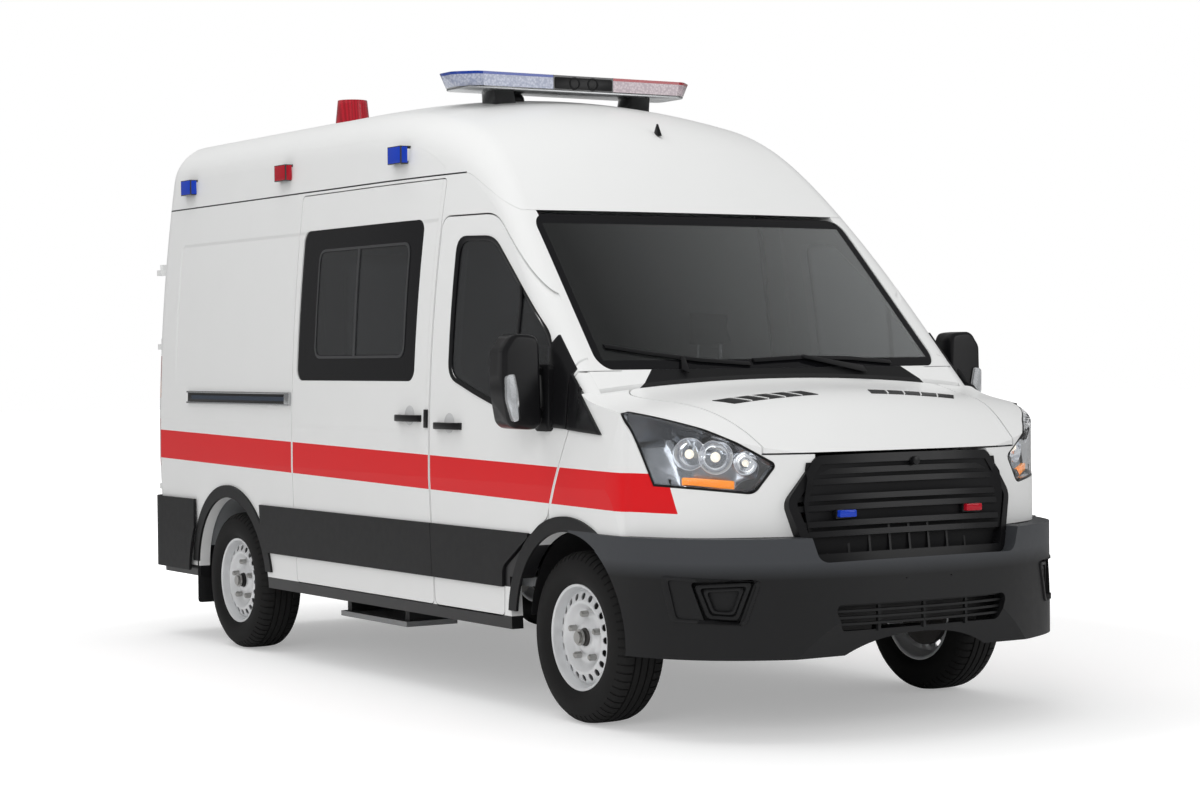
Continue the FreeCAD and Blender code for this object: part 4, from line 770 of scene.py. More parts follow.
bpy.context.view_layer.update()
pull_plan = [(-0.004, -HANDLE_HALF), (0.024, -HANDLE_HALF + 0.006), (HANDLE_OUT, -HANDLE_HALF + 0.045)]
pull_plan += [(out, -along) for out, along in reversed(pull_plan)]
pull_plan += [(-0.004, HANDLE_HALF - 0.030), (0.016, HANDLE_HALF - 0.060),
              (0.016, -HANDLE_HALF + 0.060), (-0.004, -HANDLE_HALF + 0.030)]
# The finger recess is not cut in: a grey disc on the skin is its painted shade.
recess_painted_shade = grained("recess_painted_shade", (0.62, 0.625, 0.63, 1), (0.55, 0.555, 0.56, 1), 500, 0.3,
                       0.00002, coat=0.5)


def pull_handle(name, side, at, height, skin, body):
    """A bow handle over a round finger recess, which is a raised disc painted grey as painted shade."""
    bow = slab(name, pull_plan, HANDLE_TALL, "Z", 0.004)
    done(draped(moved(bow, 0, back(at), height - HANDLE_TALL / 2), [skin], side), satin, body)
    dish = begin("circle", name + "_recess", vertices=40, radius=RECESS_RADIUS, fill_type="NGON")
    moved(dish, 0, back(at), height + RECESS_RISE, Matrix.Rotation(math.pi / 2, 4, "Y"))
    edit(dish)
    bpy.ops.mesh.inset(thickness=RECESS_LIP)
    bpy.ops.transform.translate(value=(RECESS_BULGE, 0, 0))
    close()
    done(draped(moved(dish, RECESS_OFF), [skin], side), recess_painted_shade, body)


for side, word in SIDES:
    door = "front_door_" + word
    pull_handle("door_handle_" + word, side, *DOOR_HANDLE_AT, door, door)
pull_handle("slide_handle", -1, *SLIDE_HANDLE_AT, "sliding_door", "vehicle_body")
lock = slab("lock_plate", upright(LOCK_RUN, LOCK_HEIGHTS), 0.008, edge=0.0015)
done(draped(lock, ["sliding_door"], -1), satin)
alloy = grained("track_alloy", (0.62, 0.63, 0.64, 1), (0.52, 0.53, 0.54, 1), 400, 0.26, 0.00002,
                metallic=0.95)
channel_blue = grained("track_channel", (0.012, 0.022, 0.045, 1), (0.02, 0.035, 0.06, 1), 300, 0.25,
                       0.00003)
# Name, run behind the front end, heights, corner radius, parts an edge, thickness, edge round, finish.
for name, run, heights, corner, parts, thick, edge, finish in (
        ("slide_track", TRACK_RUN, (1.250, 1.306), 0.004, TRACK_PARTS, 0.006, 0.001, satin),
        ("track_lip_lower", TRACK_RUN, (1.246, 1.255), 0, TRACK_PARTS, 0.014, 0.002, alloy),
        ("track_lip_upper", TRACK_RUN, (1.301, 1.310), 0, TRACK_PARTS, 0.014, 0.002, alloy),
        ("track_groove", (3.62, 4.77), (1.268, 1.288), 0, TRACK_PARTS, 0.009, 0, channel_blue),
        ("track_end", (3.572, 3.625), (1.252, 1.304), 0.008, 1, 0.016, 0.002, alloy)):
    outline = dense(upright(run, heights, corner), parts)
    bar = draped(slab(name, outline, thick, edge=edge), ["body_side_right"], -1)
    done(bar, finish)

# ---------------------------------------------------------------------------
# Window frames: the thin rails and the meeting stile of the two panes that
# slide in each side window, and the rubber round the front door windows.
# ---------------------------------------------------------------------------
# Run behind the front end, heights and corner radius of the rail's two outlines.
RAIL_OUT, RAIL_IN = ((2.425, 3.335), (1.472, 1.990), 0.060), ((2.437, 3.323), (1.484, 1.978), 0.050)
STILE_HEIGHTS, STILE_BACK = (1.484, 1.65, 1.81, 1.978), (2.905, 2.925)
SEAL_OUT = set_back((2.005, 1.385), (2.024, 1.998), (1.735, 1.988), (1.168, 1.552), (1.118, 1.262),
                    (1.350, 1.203), (1.77, 1.313))
SEAL_IN = set_back((1.985, 1.397), (2.002, 1.976), (1.735, 1.966), (1.186, 1.540), (1.138, 1.276),
                   (1.350, 1.222), (1.76, 1.330))
POST_CORNERS = set_back((1.437, 1.245), (1.461, 1.245), (1.455, 1.768), (1.435, 1.752))


def ring(name, outer, inner, thick, axis="X", edge=0.0):
    """A flat frame between two outlines of as many corners, thickened like a slab."""
    piece = begin("circle", name, vertices=len(outer), fill_type="NOTHING")
    edit(piece)
    bpy.ops.mesh.primitive_circle_add(vertices=len(inner), fill_type="NOTHING")
    close()
    for point, (u, v) in zip(piece.data.vertices, [*outer, *inner]):
        point.co = FACING[axis](u, v)
    edit(piece)
    bpy.ops.mesh.bridge_edge_loops()
    bpy.ops.mesh.select_all(action="SELECT")
    return thickened(piece, thick, axis, edge)


def quad(corners, axis="X"):
    """Places on a flat patch with four corners, from two shares."""
    a, b, c, d = (Vector(FACING[axis](*corner)) for corner in corners)
    return lambda u, v: (a * (1 - u) + b * u) * (1 - v) + (d * (1 - u) + c * u) * v


def patch(name, columns, rows, place, thick, axis="X", edge=0.0):
    """A sheet of small faces laid out by two shares and thickened towards the viewer."""
    piece = begin("grid", name, x_subdivisions=columns, y_subdivisions=rows, size=1)
    for point in piece.data.vertices:
        point.co = place(point.co.x + 0.5, point.co.y + 0.5)
    edit(piece)
    return thickened(piece, thick, axis, edge)


stile = grained("stile_black", (0.035, 0.036, 0.038, 1), (0.05, 0.051, 0.053, 1), 700, 0.35, 0.00003)
for side, word in SIDES:
    outer, inner = (dense(upright(*line, 5)) for line in (RAIL_OUT, RAIL_IN))
    done(draped(ring("pane_frame_" + word, outer, inner, 0.0035), ["side_windows"], side), stile)
    near, far = (set_back(*((at, z) for z in STILE_HEIGHTS)) for at in STILE_BACK)
    bar = slab("pane_stile_" + word, near + far[::-1], 0.005)
    done(draped(bar, ["side_windows"], side), stile)
    door, glass = "front_door_" + word, "front_door_glass_" + word
    seal = ring("window_seal_" + word, *(dense(rounded(line, 0.07, 5)) for line in (SEAL_OUT, SEAL_IN)),
                0.005, edge=0.0015)
    done(draped(seal, [door, glass], side), satin, door)
    post = patch("window_post_" + word, 2, 8, quad(POST_CORNERS), 0.006, edge=0.0015)
    done(draped(post, [glass], side), satin, door)

# ---------------------------------------------------------------------------
# Mirrors: black triangles at the foot of each windscreen pillar, one part on the
# door and one on the wing, the moulded head, its glass and the clear turn lamp.
# ---------------------------------------------------------------------------
SAIL_ON_DOOR = set_back((1.247, 1.192), (1.0125, 1.181), (1.0125, 1.420), (1.150, 1.560))
SAIL_ON_WING = set_back((1.0, 1.179), (0.752, 1.164), (0.994, 1.399), (0.9985, 1.402))
WING_TOP = 1.30
HEAD_WIDER, HEAD_EDGE, HEAD_FOOT = 0.036, (1.085, 1.165), 1.17
MIRROR_GLASS = ((1.112, 1.195), (1.205, 1.212), (1.222, 1.33), (1.220, 1.49), (1.180, 1.545),
                (1.118, 1.535))
TURN_LAMP = ((1.172, 1.215), (1.205, 1.212), (1.232, 1.300), (1.2335, 1.395), (1.196, 1.405),
             (1.180, 1.330))


def glowing(material, colour, strength):
    """Gives a material some light of its own."""
    inputs = material.node_tree.nodes["Principled BSDF"].inputs
    inputs["Emission Color"].default_value = colour
    inputs["Emission Strength"].default_value = strength
    return material


def merged_copy(node_name, name):
    """A copy of a CAD node's mesh as one welded skin, open in edit mode."""
    piece = moved_copy(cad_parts[node_name], name)
    edit(piece)
    weld(0.00002)
    return piece


clear_lens = tinted("clear_lens", (0.86, 0.88, 0.90, 1), 0.03, clear=0.75)
mirror_silver = grained("mirror_silver", (0.75, 0.76, 0.77, 1), (0.70, 0.71, 0.72, 1), 60, 0.06,
                        0.00001, metallic=1.0)
for side, word in SIDES:
    door, wing = "front_door_" + word, "front_wing_" + word
    front, rear = (corner.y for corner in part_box("mirror_" + word))
    on_door = patch("sail_door_" + word, 8, 12, quad(SAIL_ON_DOOR), 0.012, edge=0.002)
    done(draped(on_door, [door, "front_door_glass_" + word], side), satin, door)
    on_wing = patch("sail_wing_" + word, 12, 16, quad(SAIL_ON_WING), 0.014, edge=0.003)
    done(draped(on_wing, [wing], side, WING_TOP), satin)
    head = merged_copy("mirror_" + word, "mirror_head_" + word)
    close()
    inner_edge, outer_edge = HEAD_EDGE
    for point in head.data.vertices:
        out = abs(point.co.x)
        if inner_edge < out < outer_edge and point.co.z > HEAD_FOOT:
            point.co.x -= side * HEAD_WIDER * min(1, (outer_edge - out) / 0.04)
    done(head, satin, door)
    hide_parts("mirror_" + word)
    glass = slab("mirror_glass_" + word, rounded(mirrored(side, *MIRROR_GLASS), 0.03), 0.003, "Y")
    done(moved(glass, y=rear + 0.0028), mirror_silver, door)
    outline = rounded(mirrored(side, *TURN_LAMP), 0.012, 3)
    bulb = slab("turn_lamp_bulb_" + word, [(x * 0.994, z) for x, z in outline], 0.002, "Y")
    done(moved(bulb, y=front + 0.0015), mirror_silver, door)
    lens = slab("turn_lamp_" + word, outline, 0.010, "Y", 0.004, 3)
    done(moved(lens, y=front + 0.006), clear_lens, door)

# ---------------------------------------------------------------------------
# Headlamps: a clear moulded cover bonded to a housing with three bright reflector
# bowls, a dark bezel towards the grille and an amber turn lamp along the foot.
# ---------------------------------------------------------------------------
COVER_LIMIT, GASKET_WIDE = -0.12, 0.009
# Use, distance from the middle, distance behind the front end, height and radius of each bowl.
BOWLS = (("main", 0.745, 0.366, 1.080, 0.066), ("dip", 0.655, 0.296, 1.056, 0.044),
         ("side", 0.815, 0.440, 1.092, 0.062))
BOWL_AIM = (0.45, -0.9, 0.05)
# Distance from the middle, distance behind the front end and turn of the strip and the bezel.
STRIP_AT, BEZEL_AT = (0.70, 0.305, 0.70), (0.60, 0.245, 0.42)
TURN_STRIP = ((0.0, 0.958), (0.20, 0.978), (0.20, 1.006), (0.0, 0.990))
BEZEL = ((-0.012, 1.046), (0.055, 0.955), (0.120, 0.964), (0.090, 0.990), (0.032, 1.0),
         (0.024, 1.05), (0.055, 1.080))
amber_lens = glowing(tinted("amber_lens", (0.95, 0.30, 0.01, 1), 0.05, clear=0.15),
                     (1.0, 0.35, 0.02, 1), 0.45)
# The chrome glows a faint blue: painted reflection of the sky, on the lamp bowls, the flank lamp plates
# and the head rest posts.
chrome_painted_glow = glowing(grained("reflector_chrome", (0.86, 0.87, 0.88, 1), (0.78, 0.79, 0.80, 1), 40, 0.07,
                         0.00001, metallic=1.0), (0.9, 0.92, 1.0, 1), 0.10)
bulb_glass = glowing(grained("bulb_glass", (0.95, 0.90, 0.80, 1), (0.90, 0.84, 0.72, 1), 80, 0.15,
                             0.00001), (1.0, 0.93, 0.80, 1), 0.7)
housing = grained("lamp_housing", (0.48, 0.50, 0.53, 1), (0.22, 0.24, 0.27, 1), 14, 0.18, 0.0003,
                  metallic=0.9)
bezel_black = grained("lamp_bezel", (0.03, 0.031, 0.033, 1), (0.045, 0.046, 0.048, 1), 500, 0.35,
                      0.00003)
cover_glass = tinted("headlamp_cover", (0.93, 0.94, 0.95, 1), 0.015, clear=0.97)
cover_glass.node_tree.nodes["Principled BSDF"].inputs["IOR"].default_value = 1.12


def walled(piece, thick, offset=-1.0):
    """Gives an open skin a wall."""
    wall = piece.modifiers.new("wall", "SOLIDIFY")
    wall.thickness, wall.offset = thick, offset
    return piece


def kept_faces(piece, unwanted, flip=False):
    """In edit mode, deletes the faces that pass a test and selects, or turns round, the rest."""
    pick(piece, unwanted)
    bpy.ops.mesh.delete(type="FACE")
    bpy.ops.mesh.select_all(action="SELECT")
    if flip:
        bpy.ops.mesh.flip_normals()


cover = merged_copy("headlamps", "headlamp_covers")
kept_faces(cover, lambda centre, normal: normal.y > COVER_LIMIT)
bpy.ops.mesh.inset(thickness=GASKET_WIDE, use_boundary=True)
bpy.ops.mesh.select_all(action="INVERT")
bpy.ops.mesh.separate(type="SELECTED")
close()
gasket = next(piece for piece in bpy.context.selected_objects if piece != cover)
gasket.name = gasket.data.name = "headlamp_gaskets"
done(walled(gasket, 0.004, -0.6), satin)
done(walled(cover, 0.0025), cover_glass)
bucket = merged_copy("headlamps", "headlamp_housings")
kept_faces(bucket, lambda centre, normal: normal.y <= COVER_LIMIT, flip=True)
done(bucket, housing)
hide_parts("headlamps")
for side, word in SIDES:
    for use, x, at, height, radius in BOWLS:
        bowl = begin("uv_sphere", f"reflector_{use}_{word}", segments=32, ring_count=16, radius=radius)
        edit(bowl)
        kept_faces(bowl, lambda centre, normal: centre.z > radius * 0.25, flip=True)
        close()
        aim = Vector((side * BOWL_AIM[0], *BOWL_AIM[1:])).to_track_quat("Z", "Y").to_matrix().to_4x4()
        moved(walled(bowl, 0.002), side * x, back(at), height, aim)
        done(bowl, chrome_painted_glow)
        bulb = begin("uv_sphere", f"bulb_{use}_{word}", segments=16, ring_count=8, radius=radius * 0.3)
        done(moved(bulb, side * x, back(at), height), bulb_glass)
    strip = slab("turn_strip_" + word, mirrored(side, *TURN_STRIP), 0.02, "Y", 0.004)
    bezel = slab("lamp_bezel_" + word, rounded(mirrored(side, *BEZEL), 0.01, 2), 0.012, "Y")
    for piece, (x, at, angle) in ((strip, STRIP_AT), (bezel, BEZEL_AT)):
        moved(piece, side * x, back(at), turn=Matrix.Rotation(side * angle, 4, "Z"))
    done(strip, amber_lens)
    done(bezel, bezel_black)

# ---------------------------------------------------------------------------
# Bonnet vents and wipers: a black slatted panel let into each side of the bonnet,
# and two rubber blades on pressed arms that park at the foot of the screen.
# ---------------------------------------------------------------------------
VENT = ((0.135, 0.520), (0.555, 0.505), (0.612, 0.575), (0.170, 0.590))
VENT_GAPS, BAR_HALF = 5, 0.0035
BLADE_HALF, ARM_HALF = 0.008, 0.008
BLADE_SKINS = ["windscreen", "scuttle", "roof", "body_side_left", "body_side_right"]
# Side, the blade's line, the arm's pivot and where it clips on.
WIPERS = (("right", ((-0.800, 1.512), (-0.62, 1.482), (-0.40, 1.452), (-0.155, 1.434)),
           (-0.50, 1.405), (-0.47, 1.462)),
          ("left", ((-0.130, 1.448), (0.12, 1.458), (0.38, 1.452), (0.600, 1.434)),
           (0.42, 1.405), (0.13, 1.462)))
for side, word in SIDES:
    corners = [Vector((side * x, back(distance))) for x, distance in VENT]
    bed = patch("bonnet_vent_" + word, 20, 5, quad(corners, "Z"), 0.0025, "Z")
    done(draped(bed, ["bonnet"], 2), satin, "bonnet")
    for k in range(1, VENT_GAPS):
        foot = corners[0].lerp(corners[1], k / VENT_GAPS)
        tip = corners[3].lerp(corners[2], k / VENT_GAPS)
        wide = Vector((BAR_HALF, 0))
        slat = quad([foot - wide, foot + wide, tip + wide, tip - wide], "Z")
        slat = patch(f"vent_bar_{word}_{k}", 1, 4, slat, 0.005, "Z")
        done(draped(slat, ["bonnet"], 2), body_white, "bonnet")
for word, line, pivot, clip in WIPERS:
    below = [(x, z - BLADE_HALF) for x, z in line]
    above = [(x, z + BLADE_HALF) for x, z in reversed(line)]
    blade = slab("wiper_blade_" + word, below + above, 0.014, "Y", 0.003)
    done(draped(blade, BLADE_SKINS), satin)
    start, end = Vector(pivot), Vector(clip)
    run = (end - start).normalized() * ARM_HALF
    across = Vector((-run.y, run.x))
    plan = [start - across * 2, end - across, end + run + across * 0.5, end + across, start + across * 2]
    arm = slab("wiper_arm_" + word, plan, 0.012, "Y", 0.003)
    done(draped(moved(arm, y=-0.012), ["windscreen", "scuttle"]), satin)

# ---------------------------------------------------------------------------
# Grille: a dark mesh behind the bars, a small blue and a small red signal lamp on
# black feet, and the camera's round eye in the upper edge.
# ---------------------------------------------------------------------------
GRILLE_MIDDLE, GRILLE_HALF, GRILLE_END_HALF = 0.90, 0.495, 0.458
GRILLE_EDGE, MESH_EDGE, MESH_DEPTH = 0.012, 0.03, 0.036
LAMP_X, LAMP_HALF, LAMP_HEIGHTS = 0.313, 0.040, (0.845, 0.873)
EYE_X, EYE_Z, EYE_RADIUS, EYE_LONG, BROW_Z = 0.02, 1.052, 0.017, 0.03, 1.065
grille_low, grille_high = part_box("grille")
grille_tall = grille_high.z - grille_low.z


def grille_front(x):
    """Y of the grille's frame at that place across, between its top and its foot."""
    heights = (grille_low.z + GRILLE_EDGE, grille_high.z - GRILLE_EDGE)
    ends = [reach_of(["grille"], (x, back(CLEAR_FRONT), height), (0, 1, 0)) for height in heights]
    met = [spot.y for spot in ends if spot]
    return sum(met) / max(1, len(met))


def behind_grille(u, v):
    """Places of the dark mesh that closes the opening, following the bow of the bars."""
    z = grille_low.z + MESH_EDGE + (grille_tall - 2 * MESH_EDGE) * v
    share = abs(z - GRILLE_MIDDLE) / grille_tall * 2
    x = (2 * u - 1) * (GRILLE_HALF + (GRILLE_END_HALF - GRILLE_HALF) * share)
    return x, grille_front(x * 0.9) + MESH_DEPTH, z


mesh_black = grained("grille_mesh", (0.004, 0.004, 0.0045, 1), (0.009, 0.009, 0.010, 1), 160, 0.6,
                     0.0004, specular=0.2)
blue_lens = tinted("blue_lens", (0.015, 0.075, 0.72, 1), 0.05, clear=0.30)
red_lens = tinted("red_lens", (0.62, 0.012, 0.030, 1), 0.05, clear=0.30)
done(patch("grille_mesh", 24, 12, behind_grille, 0.003, "Y"), mesh_black)
for side, lens, word in ((-1, blue_lens, "blue"), (1, red_lens, "red")):
    face = grille_front(side * LAMP_X)
    left, right = side * LAMP_X - LAMP_HALF, side * LAMP_X + LAMP_HALF
    low, high = LAMP_HEIGHTS
    lamp = slab("grille_lamp_" + word, rectangle(left, low, right, high, 0.004, 2), 0.028, "Y", 0.004)
    done(moved(lamp, y=face + 0.020), lens)
    foot = rectangle(left - 0.006, low - 0.006, right + 0.006, high + 0.004)
    foot = slab("grille_lamp_foot_" + word, foot, 0.030, "Y", 0.003)
    done(moved(foot, y=face + 0.040), satin)
eye = begin("cylinder", "nose_camera", vertices=24, radius=EYE_RADIUS, depth=EYE_LONG)
face = reach_of(["grille"], (0, back(CLEAR_FRONT), BROW_Z), (0, 1, 0)).y
moved(bevel(eye, 0.004), EYE_X, face - 0.002, EYE_Z, Matrix.Rotation(math.pi / 2, 4, "X"))
done(eye, satin)

# ---------------------------------------------------------------------------
# Fog lamp blanks: two moulded frames in each corner recess of the front bumper,
# inside a raised surround that follows the bumper's skin.
# ---------------------------------------------------------------------------
FOG_TURN, FOG_HALF, FOG_BACK, FOG_DEEP = math.radians(42), 0.812, 0.230, 0.027
FOG_MIDDLE = Vector((0, 0.541))
FOG_OUTLINE = ((-0.112, 0.613), (0.112, 0.601), (0.062, 0.474), (-0.056, 0.468))
SURROUND_OUT = ((-0.245, 0.633), (0.145, 0.618), (0.088, 0.452), (-0.205, 0.462))
SURROUND_IN = ((-0.215, 0.620), (0.130, 0.606), (0.078, 0.464), (-0.180, 0.474))
# Name, share of the outline outside and inside, thickness and finish.
FOG_FRAMES = (("fog_frame", 1.0, 0.80, 0.012, moulded), ("fog_inner", 0.72, 0.56, 0.006, satin))


def about_fog(outline, share):
    """The fog lamp's outline shrunk about its middle."""
    return [tuple(FOG_MIDDLE + (Vector(spot) - FOG_MIDDLE) * share) for spot in outline]


for side, word in SIDES:
    turn = Matrix.Rotation(side * FOG_TURN, 4, "Z")
    outline = mirrored(side, *FOG_OUTLINE)
    for name, big, small, lift, finish in FOG_FRAMES:
        trim = ring(f"{name}_{word}", rounded(about_fog(outline, big), 0.018, 3),
                    rounded(about_fog(outline, small), 0.014, 3), lift, "Y", 0.002)
        done(moved(trim, side * (FOG_HALF - FOG_DEEP * math.sin(FOG_TURN)),
                   back(FOG_BACK + FOG_DEEP * math.cos(FOG_TURN)), turn=turn), finish)
for side, word in SIDES:
    out_line = dense(rounded(mirrored(-side, *SURROUND_OUT), 0.02, 3), 3)
    in_line = dense(rounded(mirrored(-side, *SURROUND_IN), 0.015, 3), 3)
    surround = ring("fog_surround_" + word, out_line, in_line, 0.007, "Y", 0.002)
    place = Matrix.Translation((side * FOG_HALF, back(FOG_BACK), 0)) \
        @ Matrix.Rotation(side * FOG_TURN, 4, "Z")
    inward = (place.to_3x3() @ Vector((0, 1, 0))).normalized()
    for point in surround.data.vertices:
        x, proud, z = point.co.x, -point.co.y, point.co.z
        spot = reach_of(["front_bumper"], place @ Vector((x, -1.0, z)), inward)
        point.co = (spot if spot else place @ Vector((x, 0, z))) - inward * proud
    done(surround, moulded)

# ---------------------------------------------------------------------------
# Roof equipment: light bar with blue and red lenses over clear reflectors and a
# loudspeaker in its middle, flank lamps in black housings, red beacon, aerial.
# ---------------------------------------------------------------------------
BLACK = (0.010, 0.010, 0.011, 1)
BAR_BLUE, BAR_RED = (0.008, 0.045, 0.32, 1), (0.36, 0.008, 0.02, 1)
BAR_LENS_LOW, BAR_UNDERSIDE, BAR_MIDDLE, BAR_RAISE = 2.766, 2.7135, 0.165, 0.020
BEACON_RED, BEACON_SHADE = (0.48, 0.006, 0.02, 1), (0.22, 0.002, 0.008, 1)
BEACON_AT, BEACON_SPAN, BEACON_FOOT, BEACON_WIDER, BEACON_BACK = 4.86, 0.2, 2.722, 1.15, 0.03
SPEAKER = (-0.158, 2.716, 0.158, 2.770)
HORN_X, HORN_Z, SEAM_HALF, TRAY_HALF, TRAY_Z = 0.05, 2.743, 0.003, 0.60, 2.705
FLANK_LAMP_Z, FLANK_PLATE_Z = 2.349, 2.357
AERIAL_AT, AERIAL_RISE, SIREN_AT, SIREN_RISE = (0.10, 2.02), 0.022, (-0.25, 2.72), 0.004
FLANK_LAMP = ((0.922, -0.068), (0.9600, -0.060), (0.9615, 0.056), (0.945, 0.070), (0.870, 0.070),
              (0.870, 0.0), (0.922, -0.010))
FLANK_PLATE = ((0.880, -0.066), (0.952, -0.060), (0.952, -0.055), (0.880, -0.058))


def bar_colours(tree, tone, x, y, z):
    """Blue half, red half, dark middle; clear foot with painted glints in light and dark tiles, black
    feet under the bar.
    """
    halves = mixed(tree, over(tree, x, 0.0), BAR_BLUE, BAR_RED)
    # Painted glints: light and dark tiles on the clear foot stand for the reflectors catching light.
    painted_glints = node(tree, "TexVoronoi", [places(tree)[0], None, 90.0]).outputs[0]
    painted_glints = times(tree, painted_glints, 1.4)
    clear = mixed(tree, painted_glints, (0.80, 0.82, 0.85, 1), (0.42, 0.45, 0.50, 1))
    clear = mixed(tree, 0.30, clear, halves)
    tone = mixed(tree, over(tree, z, BAR_LENS_LOW), clear, halves)
    tone = mixed(tree, under(tree, size_of(tree, x), BAR_MIDDLE), tone, BLACK)
    return mixed(tree, under(tree, z, BAR_UNDERSIDE), tone, BLACK)


def beacon_colours(tree, tone, x, y, z):
    """Red dome with darker flutes; the flank lamps' housings are black."""
    flutes = sums(tree, "SINE", times(tree, x, 420.0))
    red = mixed(tree, scaled(tree, flutes, 0.3, 0.4), BEACON_RED, BEACON_SHADE)
    red = mixed(tree, under(tree, z, BEACON_FOOT), red, SILL_BLACK)
    return mixed(tree, under(tree, size_of(tree, x), BEACON_SPAN), tone, red)


def slimmer_bar(spot):
    """Lifts the bar's underside and its feet's heads, and draws its ends in below."""
    if 2.688 < spot.z < 2.702:
        spot.z += BAR_RAISE
        spot.x *= 1 - 0.05 * max(0, abs(spot.x) - 0.45) / 0.2
    return spot


def fuller_beacon(spot):
    """The beacon is wider than its CAD cone and stands a little further back."""
    if abs(spot.x) < BEACON_SPAN:
        spot.x *= BEACON_WIDER
        spot.y = back(BEACON_AT) + (spot.y - back(BEACON_AT)) * BEACON_WIDER + BEACON_BACK
    return spot


def reshaped(node_name, name, material, change):
    """A CAD node's mesh, merged, with its points moved, standing for the node."""
    piece = merged_copy(node_name, name)
    close()
    for point in piece.data.vertices:
        point.co = change(point.co.copy())
    done(piece, material)
    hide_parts(node_name)


def on_roof(x, at, rise):
    """A place that far above the roof's skin."""
    return x, back(at), reach_of(["roof"], (x, back(at), CLEAR_TOP), (0, 0, -1)).z + rise


bar_lens = grained("light_bar_lenses", (0.5, 0.5, 0.5, 1), (0.45, 0.45, 0.45, 1), 200, 0.12, 0.00003,
                   coat=0.8, paint=bar_colours)
lamp_black = grained("roof_lamp_housings", BLACK, (0.016, 0.016, 0.017, 1), 500, 0.2, 0.00004,
                     coat=0.5, paint=beacon_colours)
reshaped("light_bar", "light_bar_body", bar_lens, slimmer_bar)
bar_low, bar_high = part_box("light_bar")
speaker = slab("speaker_box", rectangle(*SPEAKER, 0.008, 3), 0.006, "Y", 0.002)
done(moved(speaker, y=bar_low.y + 0.003), satin)
for side, word in ((-1, "a"), (1, "b")):
    horn = begin("torus", "speaker_ring_" + word, major_radius=0.026, minor_radius=0.004,
                 major_segments=32, minor_segments=8)
    moved(horn, side * HORN_X, bar_low.y - 0.0035, HORN_Z, Matrix.Rotation(math.pi / 2, 4, "X"))
    done(horn, moulded)
for side, word in ((-1, "a"), (1, "b")):
    x = side * BAR_MIDDLE
    seam = rectangle(x - SEAM_HALF, bar_low.y + 0.001, x + SEAM_HALF, bar_high.y - 0.001)
    done(moved(slab("bar_seam_" + word, seam, 0.0006, "Z"), z=bar_high.z), satin)
tray = rectangle(-TRAY_HALF, bar_low.y + 0.03, TRAY_HALF, bar_high.y - 0.03, 0.05, 4)
done(moved(slab("bar_tray", tray, 0.010, "Z", 0.002), z=TRAY_Z), alloy)
reshaped("roof_lamps", "roof_lamp_housings", lamp_black, fuller_beacon)
for side, word in SIDES:
    for at, lens, name in ((2.575, blue_lens, "front"), (3.785, red_lens, "middle"),
                           (4.960, blue_lens, "rear")):
        outline, plate = ([(side * x, back(at + behind)) for x, behind in plan]
                          for plan in (FLANK_LAMP, FLANK_PLATE))
        lamp = slab(f"flank_lamp_{name}_{word}", rounded(outline, 0.006, 3), 0.072, "Z", 0.006, 3)
        done(moved(lamp, z=FLANK_LAMP_Z), lens)
        plate = slab(f"flank_plate_{name}_{word}", plate, 0.055, "Z")
        done(moved(plate, z=FLANK_PLATE_Z), chrome_painted_glow)
fin = begin("cone", "aerial", vertices=20, radius1=0.020, radius2=0.004, depth=0.055)
edit(fin)
bpy.ops.transform.resize(value=(0.55, 1.7, 1), center_override=(0, 0, 0))
close()
done(moved(fin, *on_roof(*AERIAL_AT, AERIAL_RISE)), satin)
dome = begin("uv_sphere", "siren", segments=24, ring_count=12, radius=0.055)
flatter = Matrix.Diagonal((1, 1, 0.75, 1))
done(moved(dome, *on_roof(*SIREN_AT, SIREN_RISE), flatter), moulded)

# ---------------------------------------------------------------------------
# Tail: banded lamp lenses, door pull with the plate lamp bar over a blank plate
# panel, a high stop lamp, and rubber mud flaps behind the rear wheels.
# ---------------------------------------------------------------------------
AMBER_BAND, CLEAR_BAND = (1.27, 1.36), (1.16, 1.27)
FLAP_INNER, FLAP_OUTER, FLAP_LOW, FLAP_HIGH, FLAP_BACK = 0.78, 1.00, 0.20, 0.50, 4.765


def tail_bands(tree, tone, x, y, z):
    """Red, amber, clear and red bands with fine level flutes."""
    tone = mixed(tree, between(tree, z, *AMBER_BAND), tone, (0.80, 0.22, 0.02, 1))
    tone = mixed(tree, between(tree, z, *CLEAR_BAND), tone, (0.72, 0.73, 0.75, 1))
    waves = sums(tree, "SINE", times(tree, z, 900.0))
    flutes = scaled(tree, waves, 0.12, 0.12)
    return mixed(tree, flutes, tone, (0.08, 0.01, 0.01, 1))


dress(grained("tail_lamp_lenses", (0.52, 0.010, 0.016, 1), (0.42, 0.006, 0.010, 1), 200, 0.12,
              0.00003, coat=0.8, paint=tail_bands), "tail_lamps")
leaf_back = reach_of(["rear_door_left"], (0.4, back(6.4), 1.0), (0, -1, 0)).y
